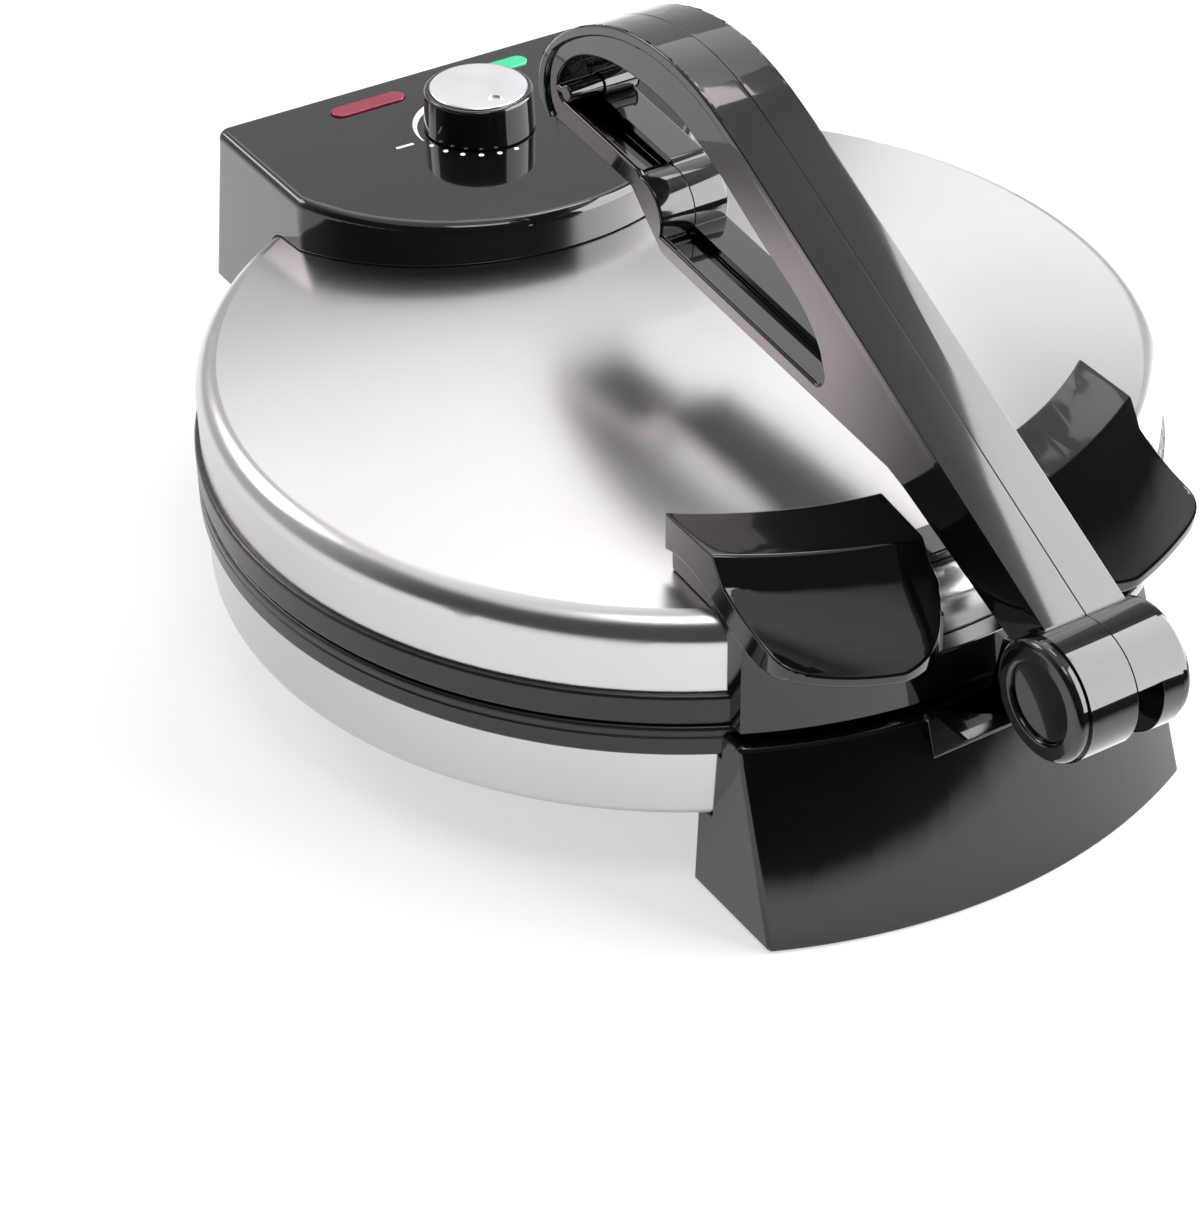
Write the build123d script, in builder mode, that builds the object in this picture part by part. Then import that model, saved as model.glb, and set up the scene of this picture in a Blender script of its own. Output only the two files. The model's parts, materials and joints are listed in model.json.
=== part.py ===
from build123d import *
from math import cos, radians, sin, sqrt, tan
import os

os.makedirs("parts", exist_ok=True)

# Flatbread and pancake press, millimetres.
# Origin: the point of the worktop under the common axis of the two hot plates.
# +Z is up, -Y is the front with the press lever, +X is to the right seen from the front.

# Gaps and walls used all over
fit_gap = 0.3
plastic_wall = 2.6
shell_wall = 0.6
reflector_wall = 0.4
overlap = 1.0

# Hot plates
plate_radius = 150.0
plate_thickness = 4.6
plate_gap = 2.6
plate_rim_depth = 0.9
plate_rim_width = 6.0

# Bezel rings, one on the base and one on the lid
parting_height = 68.65
parting_gap = 0.7
bezel_width = 18.0
bezel_height = 11.5
bezel_edge = 1.8
bezel_groove = 1.2
ledge_width = 4.0
spigot_height = 5.0
spigot_wall = 3.5

# Steel shells
shell_inset = 2.0
base_band = 25.0
base_bend = 3.0
base_floor_height = 20.0
base_slope_reach = 48.0
base_floor_rim = 6.0
lid_band = 17.0
shoulder_radius = 9.6
shoulder_angle = 79.0
dome_rise = 8.0

# Heating elements and reflectors
element_share = 0.67
element_tube = 3.5
element_gap_angle = 34.0
reflector_depth = 8.0

# Bottom cover, its posts and screws
cover_thickness = 2.4
post_setback = 30.0
post_radius = 4.5
screw_radius = 1.5
screw_head_radius = 3.4
screw_head_height = 2.2
screw_depth = 12.0
screw_hold = 8.0
screw_sink = 1.0
vent_count = 10
vent_setback = 58.0
vent_length = 22.0
vent_width = 4.0

# Front foot
foot_lift = 0.8
foot_below_skirt = 3.2
foot_reach = 8.0
foot_flare = 22.5
foot_half_bottom = 83.5
foot_half_top = 80.5
foot_depth = 39.0
foot_wall = 3.0
foot_edge = 2.5
bracket_half = 22.0
bracket_length = 19.0
bracket_lift = 3.0
bracket_root = 52.0

# Rear stand and lid hinge
stand_half = 58.0
stand_behind = 10.0
stand_depth = 58.0
stand_height = 38.0
stand_corner = 12.0
hinge_back = 18.0
hinge_z = 50.0
hinge_hub = 8.5
hinge_pin_radius = 3.0
lug_inner = 40.0
lug_width = 8.0
ear_width = 8.6
side_play = 0.4
running_fit = 0.05

# Rubber feet
pad_radius = 7.0
pad_height = 4.0
front_pad_x = 64.0
front_pad_setback = 21.0
rear_pad_x = 44.0
rear_pad_setback = 16.0

# Cord inlet and terminal block
inlet_height = 20.0
inlet_bore = 3.6
inlet_neck = 6.0
inlet_flange = 9.0
inlet_flange_width = 2.4
inlet_tail = 3.0
terminal_length = 26.0
terminal_width = 14.0
terminal_height = 11.0
terminal_setback = 26.0

# Lever pivot
barrel_reach = 48.0
barrel_z = 103.0
barrel_radius = 20.5
barrel_half = 21.5
barrel_body = 17.2
barrel_neck = 18.6
barrel_groove = 1.5
rim_radius = 19.6
rim_round = 2.4
rim_lip_round = 1.2
cap_radius = 12.8
cap_thickness = 2.0
cap_sink = 1.4
cap_dish_radius = 80.0
cap_dish_depth = 0.9
pivot_radius = 4.0
ear_hub = 8.2
pivot_ear_thickness = 9.0
pivot_ear_height = 9.0
pivot_ear_angle = -22.0
pivot_ear_clearance = 6.5
lever_travel = 165.0

# Press lever, places in its side view are measured to the rear and up from the barrel's axis
lever_web_half = 13.5
lever_flange_half = 15.0
lever_flange_depth = 4.2
lever_flange_edge = 0.8
lever_seam = 0.2
lever_skin = 2.5
big_post_y = 227.0
big_post_z = 55.0
big_post_radius = 13.0
tip_post_y = 273.5
tip_post_z = 78.5
tip_post_radius = 3.2
tip_sleeve_radius = 4.2
tip_web = 8.0
arm_root = (6.5, 20.0)
arm_shoulder = (155.0, 99.0)
arm_run = (148.5, 79.0)
arch = [(178.0, 110.4), (190.0, 115.2), (219.3, 119.8), (246.0, 115.4), (263.0, 108.0), (280.8, 94.9)]
nose_top = (289.0, 80.0)
nose_end = (280.0, 65.8)
border = [
    (271.0, 65.5),
    (233.0, 62.2),
    (214.0, 44.8),
    (126.0, 35.0),
    (87.0, 31.0),
    (78.0, 28.0),
    (64.0, 22.0),
    (44.0, 13.5),
    (20.0, 4.0),
]
border_bend = 5.0
window_rise = [
    (124.0, 53.5),
    (137.0, 66.4),
    (150.0, 73.2),
    (162.2, 79.6),
    (176.0, 87.4),
    (191.4, 95.0),
    (204.0, 99.6),
    (220.0, 102.3),
    (243.0, 102.3),
    (269.4, 93.0),
    (278.5, 82.6),
]
window_floor = [(279.5, 75.3), (228.0, 69.6), (219.0, 51.6), (119.0, 40.2)]
window_bend = 4.5

# Lid handle
handle_setback = 26.0
handle_half = 80.5
handle_slot_half = 16.8
handle_top = 127.0
handle_rear_lift = 3.0
handle_deck = 22.2
handle_deck_edge = 122.3
handle_deck_lift = 7.0
handle_step = 4.8
handle_step_edge = 114.8
handle_step_lift = 6.2
handle_lip_reach = 28.5
handle_lip = 101.5
handle_lip_lift = 9.3
handle_dish = 2.0
handle_rear_depth = 14.0
handle_deck_depth = 17.0
handle_step_depth = 11.5
handle_lip_depth = 3.4
handle_seam = 0.4
handle_corner = 14.0
skirt_reach = 5.5
skirt_half = 78.5
skirt_drop = 0.55
valley_top = 87.0
saddle_setback = 2.0
saddle_depth = 14.0
saddle_top = 111.0

# Control housing
housing_half = 83.0
housing_top = 129.0
housing_behind = 12.0
housing_slope = 12.5
housing_bottom = 63.0
housing_edge = 4.5
housing_round = 3.5
housing_corner = 5.0
housing_arc_setback = 49.3
housing_arc_extra = 4.5
housing_floor_thickness = 2.0
housing_post_radius = 4.0
housing_post_height = 22.0

# Knob, thermostat and indicator lenses
knob_setback = 64.7
knob_radius = 20.0
knob_foot_radius = 20.6
knob_height = 15.0
knob_lift = 0.5
knob_wall = 2.2
knob_edge = 1.2
knob_hub_radius = 6.0
cap_disc_radius = 18.0
cap_disc_rise = 1.3
cap_dimple_radius = 2.6
spindle_radius = 3.0
spindle_collar = 6.5
thermostat_radius = 13.0
thermostat_height = 15.0
lens_x = 26.8
lens_setback = 28.0
lens_length = 30.0
lens_width = 7.6
lens_rise = 0.7
lens_depth = 4.5
lamp_radius = 2.6
lamp_length = 18.0

# Values worked out from the sizes above
bezel_radius = plate_radius + bezel_width
shell_radius = bezel_radius - shell_inset
lower_bezel_top = parting_height - parting_gap / 2
lower_bezel_bottom = lower_bezel_top - bezel_height
upper_bezel_bottom = parting_height + parting_gap / 2
upper_bezel_top = upper_bezel_bottom + bezel_height
lower_plate_top = parting_height - plate_gap / 2
lower_plate_bottom = lower_plate_top - plate_thickness
upper_plate_bottom = parting_height + plate_gap / 2
upper_plate_top = upper_plate_bottom + plate_thickness
reflector_radius = plate_radius - overlap
reflector_floor = lower_bezel_bottom - reflector_depth
reflector_roof = upper_bezel_top + reflector_depth
base_corner = lower_bezel_bottom - base_band
shoulder_bottom = upper_bezel_top + lid_band
shoulder_axis = shell_radius - shoulder_radius
crease_radius = shoulder_axis + shoulder_radius * cos(radians(shoulder_angle))
crease_height = shoulder_bottom + shoulder_radius * sin(radians(shoulder_angle))
dome_radius = (crease_radius**2 + dome_rise**2) / (2 * dome_rise)
crown = crease_height + dome_rise
base_floor_radius = shell_radius - base_slope_reach
post_ring_radius = base_floor_radius - post_setback
vent_ring_radius = base_floor_radius - vent_setback
terminal_y = base_floor_radius - terminal_setback
element_radius = plate_radius * element_share
skirt_bottom = parting_height + skirt_drop
foot_height = skirt_bottom - foot_below_skirt
bracket_height = foot_height + bracket_lift
foot_radius_top = bezel_radius + foot_reach
foot_radius_bottom = foot_radius_top + foot_flare
foot_rear = foot_radius_top - foot_depth
foot_draft = foot_flare / foot_height
bracket_reach = foot_radius_top + bracket_length
front_pad_y = foot_radius_top - front_pad_setback
barrel_y = -foot_radius_top - barrel_reach
pivot_ear_turn = foot_radius_top + pivot_ear_clearance
cap_seat = barrel_half - cap_thickness - fit_gap - cap_sink
hinge_y = bezel_radius + hinge_back
stand_rear = hinge_y + stand_behind
stand_front = stand_rear - stand_depth
rear_pad_y = stand_rear - rear_pad_setback
housing_rear_bottom = hinge_y + housing_behind
housing_rear_top = housing_rear_bottom - housing_slope
housing_arc = housing_half + housing_arc_extra
housing_arc_y = housing_rear_bottom - housing_arc_setback
knob_y = housing_rear_bottom - knob_setback
lens_y = housing_rear_bottom - lens_setback
handle_rear_radius = shell_radius - handle_setback
handle_deck_radius = handle_rear_radius + handle_deck
handle_step_radius = handle_deck_radius + handle_step
handle_lip_radius = bezel_radius + handle_lip_reach
skirt_radius = bezel_radius + skirt_reach
saddle_rear = handle_rear_radius + saddle_setback
saddle_front = saddle_rear + saddle_depth


def dome_at(radius: float) -> float:
    """Height of the dome's outer face at a radius from the axis of the plates."""
    return crown - dome_radius + sqrt(dome_radius**2 - radius**2)


def rings(points: list):
    """A solid turned about the axis of the plates from (radius, height) points."""
    with BuildPart() as turned:
        with BuildSketch(Plane.XZ):
            with BuildLine():
                Polyline(*points, close=True)
            make_face()
        revolve(axis=Axis.Z)
    return turned.part


def lid_outline(grow: float):
    """The closed shape of the dome and its band, grown outward, down to the bezel's top."""
    with BuildPart() as outline:
        with BuildSketch(Plane.XZ):
            with BuildLine():
                side = shell_radius + grow
                crease = (
                    shoulder_axis + (shoulder_radius + grow) * cos(radians(shoulder_angle)),
                    shoulder_bottom + (shoulder_radius + grow) * sin(radians(shoulder_angle)),
                )
                half_turn = radians(shoulder_angle / 2)
                middle = (
                    shoulder_axis + (shoulder_radius + grow) * cos(half_turn),
                    shoulder_bottom + (shoulder_radius + grow) * sin(half_turn),
                )
                chord = crease[0] / 2
                sag = crown + grow - dome_radius + sqrt(dome_radius**2 - chord**2)
                Line((0, upper_bezel_top), (side, upper_bezel_top))
                Line((side, upper_bezel_top), (side, shoulder_bottom))
                ThreePointArc((side, shoulder_bottom), middle, crease)
                ThreePointArc(crease, (chord, sag), (0, crown + grow))
                Line((0, crown + grow), (0, upper_bezel_top))
            make_face()
        revolve(axis=Axis.Z)
    return outline.part


def body_outline(grow: float):
    """The closed shape of base, bezels and lid with a clearance all round."""
    with BuildPart() as outline:
        with BuildSketch(Plane.XZ):
            with BuildLine():
                Polyline(
                    (0, base_floor_height - cover_thickness - grow),
                    (base_floor_radius, base_floor_height - cover_thickness - grow),
                    (base_floor_radius + grow, base_floor_height - grow),
                    (shell_radius + grow, base_corner - grow),
                    (shell_radius + grow, lower_bezel_bottom - grow),
                    (bezel_radius + grow, lower_bezel_bottom - grow),
                    (bezel_radius + grow, upper_bezel_top + grow),
                    (0, upper_bezel_top + grow),
                    close=True,
                )
            make_face()
        revolve(axis=Axis.Z)
        add(lid_outline(grow))
    return outline.part


clear_of_body = body_outline(fit_gap)

# Lower bezel ring with its ledge for the hot plate and its spigot inside the shell
with BuildPart() as lower_bezel:
    with BuildSketch(Plane.XZ) as section:
        with BuildLine():
            Polyline(
                (plate_radius + fit_gap, lower_bezel_top),
                (bezel_radius, lower_bezel_top),
                (bezel_radius, lower_bezel_bottom),
                (shell_radius - shell_wall - fit_gap, lower_bezel_bottom),
                (shell_radius - shell_wall - fit_gap, lower_bezel_bottom - spigot_height),
                (shell_radius - shell_wall - spigot_wall, lower_bezel_bottom - spigot_height),
                (shell_radius - shell_wall - spigot_wall, lower_bezel_bottom),
                (plate_radius - ledge_width, lower_bezel_bottom),
                (plate_radius - ledge_width, lower_plate_bottom),
                (plate_radius + fit_gap, lower_plate_bottom),
                close=True,
            )
        make_face()
        fillet(section.vertices().group_by(Axis.X)[-1], bezel_edge)
    revolve(axis=Axis.Z)
    with BuildSketch(Plane.XZ):
        with Locations((bezel_radius, lower_bezel_top - bezel_height / 3)):
            Circle(bezel_groove / 2)
    revolve(axis=Axis.Z, mode=Mode.SUBTRACT)
lower_bezel.part.label = "lower_bezel"
export_step(lower_bezel.part, "parts/lower_bezel.step")

# Upper bezel ring, the lower one turned over
with BuildPart() as upper_bezel:
    with BuildSketch(Plane.XZ) as section:
        with BuildLine():
            Polyline(
                (plate_radius + fit_gap, upper_bezel_bottom),
                (bezel_radius, upper_bezel_bottom),
                (bezel_radius, upper_bezel_top),
                (shell_radius - shell_wall - fit_gap, upper_bezel_top),
                (shell_radius - shell_wall - fit_gap, upper_bezel_top + spigot_height),
                (shell_radius - shell_wall - spigot_wall, upper_bezel_top + spigot_height),
                (shell_radius - shell_wall - spigot_wall, upper_bezel_top),
                (plate_radius - ledge_width, upper_bezel_top),
                (plate_radius - ledge_width, upper_plate_top),
                (plate_radius + fit_gap, upper_plate_top),
                close=True,
            )
        make_face()
        fillet(section.vertices().group_by(Axis.X)[-1], bezel_edge)
    revolve(axis=Axis.Z)
upper_bezel.part.label = "upper_bezel"
export_step(upper_bezel.part, "parts/upper_bezel.step")

# Hot plates, each a cast disc with a raised rim on its cooking face
with BuildPart() as lower_hot_plate:
    with BuildSketch(Plane.XY.offset(lower_plate_bottom)):
        Circle(plate_radius)
    extrude(amount=plate_thickness)
    with BuildSketch(Plane.XY.offset(lower_plate_top - plate_rim_depth)):
        Circle(plate_radius - plate_rim_width)
    extrude(amount=plate_rim_depth, mode=Mode.SUBTRACT)
lower_hot_plate.part.label = "lower_hot_plate"
export_step(lower_hot_plate.part, "parts/lower_hot_plate.step")

with BuildPart() as upper_hot_plate:
    with BuildSketch(Plane.XY.offset(upper_plate_bottom)):
        Circle(plate_radius)
    extrude(amount=plate_thickness)
upper_hot_plate.part.label = "upper_hot_plate"
export_step(upper_hot_plate.part, "parts/upper_hot_plate.step")


def heating_element(height: float, lead: float):
    """A sheathed ring with a gap at the rear, whose two cold ends turn away from the plate."""
    half_gap = radians(element_gap_angle / 2)
    end_x = element_radius * sin(half_gap)
    end_y = element_radius * cos(half_gap)
    ends = [(-end_x, end_y), (end_x, end_y)]
    with BuildPart() as element:
        with BuildLine():
            ThreePointArc(
                (ends[0][0], ends[0][1], height),
                (0, -element_radius, height),
                (ends[1][0], ends[1][1], height),
            )
        with BuildSketch(Plane((0, -element_radius, height), z_dir=(1, 0, 0))):
            Circle(element_tube)
        sweep()
        for end in ends:
            with BuildSketch(Plane.XY.offset(height)):
                with Locations(end):
                    Circle(element_tube)
            extrude(amount=lead)
    return element.part


lower_element_height = lower_plate_bottom - fit_gap - element_tube
upper_element_height = upper_plate_top + fit_gap + element_tube

with BuildPart() as lower_element:
    add(heating_element(lower_element_height, reflector_floor + reflector_wall - lower_element_height))
lower_element.part.label = "lower_element"
export_step(lower_element.part, "parts/lower_element.step")

with BuildPart() as upper_element:
    add(heating_element(upper_element_height, reflector_roof - reflector_wall - upper_element_height))
upper_element.part.label = "upper_element"
export_step(upper_element.part, "parts/upper_element.step")

# Reflector pans that keep the heat at the plates and off the shells
with BuildPart() as lower_reflector:
    add(
        rings(
            [
                (0, reflector_floor),
                (reflector_radius, reflector_floor),
                (reflector_radius, lower_bezel_bottom),
                (reflector_radius - reflector_wall, lower_bezel_bottom),
                (reflector_radius - reflector_wall, reflector_floor + reflector_wall),
                (0, reflector_floor + reflector_wall),
            ]
        )
    )
lower_reflector.part.label = "lower_reflector"
export_step(lower_reflector.part, "parts/lower_reflector.step")

with BuildPart() as upper_reflector:
    add(
        rings(
            [
                (0, reflector_roof),
                (reflector_radius, reflector_roof),
                (reflector_radius, upper_bezel_top),
                (reflector_radius - reflector_wall, upper_bezel_top),
                (reflector_radius - reflector_wall, reflector_roof - reflector_wall),
                (0, reflector_roof - reflector_wall),
            ]
        )
    )
upper_reflector.part.label = "upper_reflector"
export_step(upper_reflector.part, "parts/upper_reflector.step")

# Base shell, a pressed steel bowl open in the middle of its floor
with BuildPart() as base_shell:
    with BuildSketch(Plane.XZ) as section:
        with BuildLine():
            Polyline(
                (shell_radius, lower_bezel_bottom),
                (shell_radius, base_corner),
                (base_floor_radius, base_floor_height),
                (base_floor_radius - base_floor_rim, base_floor_height),
                (base_floor_radius - base_floor_rim, base_floor_height + shell_wall),
                (base_floor_radius - shell_wall / 8, base_floor_height + shell_wall),
                (shell_radius - shell_wall, base_corner + shell_wall * 3 / 4),
                (shell_radius - shell_wall, lower_bezel_bottom),
                close=True,
            )
        make_face()
        bends = section.vertices().filter_by(lambda v: abs(v.Y - base_corner) < shell_wall).sort_by(Axis.X)
        fillet(bends[-1], base_bend)
        fillet(bends[0], base_bend - shell_wall)
    revolve(axis=Axis.Z)
base_shell.part.label = "base_shell"
export_step(base_shell.part, "parts/base_shell.step")

# Bottom cover with hollow posts up to the reflector and vents between them
with BuildPart() as bottom_cover:
    with BuildSketch(Plane.XY.offset(base_floor_height - cover_thickness)):
        Circle(base_floor_radius - overlap)
        with PolarLocations(vent_ring_radius, vent_count):
            SlotOverall(vent_length, vent_width, mode=Mode.SUBTRACT)
    extrude(amount=cover_thickness)
    with BuildSketch(Plane.XY.offset(base_floor_height)):
        with PolarLocations(post_ring_radius, 4, 45):
            Circle(post_radius)
    extrude(amount=reflector_floor - base_floor_height)
    with BuildSketch(Plane.XY.offset(base_floor_height - cover_thickness)):
        with PolarLocations(post_ring_radius, 4, 45):
            Circle(screw_radius + fit_gap / 3)
    extrude(amount=screw_depth + overlap, mode=Mode.SUBTRACT)
bottom_cover.part.label = "bottom_cover"
export_step(bottom_cover.part, "parts/bottom_cover.step")

with BuildPart() as base_screws:
    head_top = base_floor_height - cover_thickness
    with BuildSketch(Plane.XY.offset(head_top)):
        with PolarLocations(post_ring_radius, 4, 45):
            Circle(screw_radius)
    extrude(amount=screw_depth)
    with BuildSketch(Plane.XY.offset(head_top - screw_head_height)):
        with PolarLocations(post_ring_radius, 4, 45):
            Circle(screw_head_radius)
    extrude(amount=screw_head_height)
    with BuildSketch(Plane.XY.offset(head_top - screw_head_height)):
        with PolarLocations(post_ring_radius, 4, 45):
            Rectangle(screw_head_radius, screw_head_height / 3)
            Rectangle(screw_head_height / 3, screw_head_radius)
    extrude(amount=screw_head_height / 2, mode=Mode.SUBTRACT)
base_screws.part.label = "base_screws"
export_step(base_screws.part, "parts/base_screws.step")


def foot_plan(radius: float, half: float, rear: float):
    """Plan of the front foot: an arc in front, two sides and a straight rear edge."""
    corner = -sqrt(radius**2 - half**2)
    with BuildSketch() as plan:
        with BuildLine():
            ThreePointArc((-half, corner), (0, -radius), (half, corner))
            Polyline((half, corner), (half, -rear), (-half, -rear), (-half, corner))
        make_face()
    return plan.sketch


def foot_block(inset: float, bottom: float, top: float):
    """The flared block of the front foot between two heights, drawn in by an inset."""
    with BuildPart() as block:
        for height in (bottom, top):
            share = height / foot_height
            radius = foot_radius_bottom + (foot_radius_top - foot_radius_bottom) * share - inset
            half = foot_half_bottom + (foot_half_top - foot_half_bottom) * share - inset
            with BuildSketch(Plane.XY.offset(height)):
                add(foot_plan(radius, half, foot_rear + inset))
        loft()
    return block.part


# Front foot, a flared hollow block that carries the lever's pivot on one ear
with BuildPart() as front_foot:
    add(foot_block(0, foot_lift, foot_height))
    fillet(front_foot.faces().sort_by(Axis.Z)[-1].edges().sort_by(Axis.Y)[0], foot_edge)
    corners = front_foot.edges().filter_by(lambda e: e.length > foot_height / 2)
    corners = corners.filter_by(lambda e: abs(e.center().X) > foot_half_top / 2)
    corners = corners.filter_by(lambda e: abs(e.center().Z - foot_height / 2) < 2 * foot_edge)
    fillet(corners.group_by(Axis.Y)[0], foot_edge)
    add(foot_block(foot_wall, 0, foot_height - foot_wall), mode=Mode.SUBTRACT)
    with BuildSketch(Plane.XY.offset(pad_height)):
        for side in (-1, 1):
            with Locations((side * front_pad_x, -front_pad_y)):
                Circle(pad_radius)
    extrude(amount=foot_height - foot_wall - pad_height + overlap)
    with BuildSketch(Plane.YZ.offset(-bracket_half)):
        with BuildLine():
            Polyline(
                (-bracket_reach, bracket_height),
                (-foot_radius_top, bracket_height),
                (-foot_radius_top + foot_wall, foot_height - overlap),
                (-foot_radius_top + foot_wall, bracket_root),
                (-foot_radius_bottom + foot_draft * bracket_root + foot_wall / 2, bracket_root),
                close=True,
            )
        make_face()
    extrude(amount=2 * bracket_half)
    with BuildSketch(Plane.YZ.offset(fit_gap)):
        along = (cos(radians(pivot_ear_angle)), sin(radians(pivot_ear_angle)))
        up = (-along[1] * pivot_ear_height / 2, along[0] * pivot_ear_height / 2)
        reach = (-pivot_ear_turn - barrel_y) / along[0]
        knee = (barrel_y + along[0] * reach, barrel_z + along[1] * reach)
        with BuildLine():
            Polyline(
                (barrel_y + up[0], barrel_z + up[1]),
                (knee[0] + up[0], knee[1] + up[1]),
                (-foot_radius_top - side_play, bracket_height - overlap),
                (-bracket_reach + overlap, bracket_height - overlap),
                (-bracket_reach + overlap, knee[1]),
                (barrel_y - up[0], barrel_z - up[1]),
                close=True,
            )
        make_face()
        with Locations((barrel_y, barrel_z)):
            Circle(ear_hub)
    extrude(amount=pivot_ear_thickness)
    with BuildSketch(Plane.YZ):
        with Locations((barrel_y, barrel_z)):
            Circle(pivot_radius + running_fit / 2)
    extrude(amount=pivot_ear_thickness + overlap, mode=Mode.SUBTRACT)
    add(clear_of_body, mode=Mode.SUBTRACT)
front_foot.part.label = "front_foot"
export_step(front_foot.part, "parts/front_foot.step")

# Pin through both lever halves and the ear
with BuildPart() as lever_pin:
    pin_half = cap_seat - overlap + fit_gap
    with BuildSketch(Plane.YZ.offset(-pin_half)):
        with Locations((barrel_y, barrel_z)):
            Circle(pivot_radius)
    extrude(amount=2 * pin_half)
    chamfer(lever_pin.edges().filter_by(GeomType.CIRCLE), fit_gap)
lever_pin.part.label = "lever_pin"
export_step(lever_pin.part, "parts/lever_pin.step")

# Rear stand with the two outer ears of the lid hinge
ear_start = lug_inner + lug_width + side_play
with BuildPart() as rear_stand:
    with BuildSketch(Plane.XY.offset(foot_lift)) as plan:
        with Locations((0, (stand_rear + stand_front) / 2)):
            Rectangle(2 * stand_half, stand_rear - stand_front)
        fillet(plan.vertices().group_by(Axis.Y)[-1], stand_corner)
    extrude(amount=stand_height - foot_lift)
    with BuildSketch(Plane.XY.offset(foot_lift)) as inner_plan:
        with Locations((0, (stand_rear + stand_front) / 2)):
            Rectangle(2 * (stand_half - foot_wall), stand_rear - stand_front - 2 * foot_wall)
        fillet(inner_plan.vertices().group_by(Axis.Y)[-1], stand_corner - foot_wall)
    extrude(amount=stand_height - foot_lift - foot_wall, mode=Mode.SUBTRACT)
    with BuildSketch(Plane.XY.offset(pad_height)):
        for side in (-1, 1):
            with Locations((side * rear_pad_x, rear_pad_y)):
                Circle(pad_radius)
    extrude(amount=stand_height - foot_wall - pad_height + overlap)
    for side in (-1, 1):
        with BuildSketch(Plane.YZ.offset(side * (ear_start + ear_width / 2))):
            with Locations((hinge_y, hinge_z)):
                Circle(hinge_hub)
            with BuildLine():
                Polyline(
                    (hinge_y - hinge_hub, hinge_z),
                    (hinge_y + hinge_hub, hinge_z),
                    (hinge_y + hinge_hub, stand_height - overlap),
                    (hinge_y - hinge_hub - foot_wall, stand_height - overlap),
                    close=True,
                )
            make_face()
        extrude(amount=ear_width / 2, both=True)
        with BuildSketch(Plane.YZ.offset(side * (ear_start + ear_width / 2))):
            with Locations((hinge_y, hinge_z)):
                Circle(hinge_pin_radius + running_fit / 2)
        extrude(amount=ear_width, both=True, mode=Mode.SUBTRACT)
    with BuildSketch(Plane.XZ.offset(-stand_rear)):
        with Locations((0, inlet_height)):
            Circle(inlet_neck + running_fit)
    extrude(amount=2 * foot_wall, both=True, mode=Mode.SUBTRACT)
    add(clear_of_body, mode=Mode.SUBTRACT)
rear_stand.part.label = "rear_stand"
export_step(rear_stand.part, "parts/rear_stand.step")

with BuildPart() as hinge_pins:
    pin_span = lug_width + side_play + ear_width
    for side in (-1, 1):
        with BuildSketch(Plane.YZ.offset(side * (lug_inner + pin_span / 2))):
            with Locations((hinge_y, hinge_z)):
                Circle(hinge_pin_radius)
        extrude(amount=pin_span / 2 + overlap, both=True)
hinge_pins.part.label = "hinge_pins"
export_step(hinge_pins.part, "parts/hinge_pins.step")

# Rubber feet: two under the front foot, two under the rear stand
with BuildPart() as rubber_feet:
    with BuildSketch(Plane.XY):
        for side in (-1, 1):
            with Locations((side * front_pad_x, -front_pad_y), (side * rear_pad_x, rear_pad_y)):
                Circle(pad_radius)
    extrude(amount=pad_height)
rubber_feet.part.label = "rubber_feet"
export_step(rubber_feet.part, "parts/rubber_feet.step")

# Bush that lines the cord's hole in the rear stand
with BuildPart() as cord_bush:
    with BuildSketch(Plane.XZ.offset(-stand_rear + foot_wall + inlet_tail)):
        with Locations((0, inlet_height)):
            Circle(inlet_neck)
    extrude(amount=-foot_wall - inlet_tail)
    with BuildSketch(Plane.XZ.offset(-stand_rear)):
        with Locations((0, inlet_height)):
            Circle(inlet_flange)
    extrude(amount=-inlet_flange_width)
    fillet(cord_bush.edges().filter_by(GeomType.CIRCLE).group_by(Axis.Y)[-1], inlet_flange_width / 3)
    with BuildSketch(Plane.XZ.offset(-stand_rear - inlet_flange_width)):
        with Locations((0, inlet_height)):
            Circle(inlet_bore)
    extrude(amount=foot_wall + inlet_tail + inlet_flange_width, mode=Mode.SUBTRACT)
cord_bush.part.label = "cord_bush"
export_step(cord_bush.part, "parts/cord_bush.step")

# Terminal block on the bottom cover
with BuildPart() as terminal_block:
    with BuildSketch(Plane.XY.offset(base_floor_height)):
        with Locations((0, terminal_y)):
            Rectangle(terminal_length, terminal_width)
    extrude(amount=terminal_height)
    with BuildSketch(Plane.XY.offset(base_floor_height + terminal_height)):
        with Locations((0, terminal_y)):
            with GridLocations(terminal_length / 3, terminal_width / 2, 3, 2):
                Circle(terminal_width / 6)
    extrude(amount=-terminal_height / 2, mode=Mode.SUBTRACT)
terminal_block.part.label = "terminal_block"
export_step(terminal_block.part, "parts/terminal_block.step")

# Domed steel shell of the lid
with BuildPart() as lid_shell:
    add(lid_outline(0))
    add(lid_outline(-shell_wall), mode=Mode.SUBTRACT)
    with BuildSketch(Plane.XY.offset(upper_bezel_top)):
        with Locations((0, knob_y)):
            Circle(spindle_collar + overlap)
    extrude(amount=crown, mode=Mode.SUBTRACT)
lid_shell.part.label = "lid_shell"
export_step(lid_shell.part, "parts/lid_shell.step")

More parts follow.
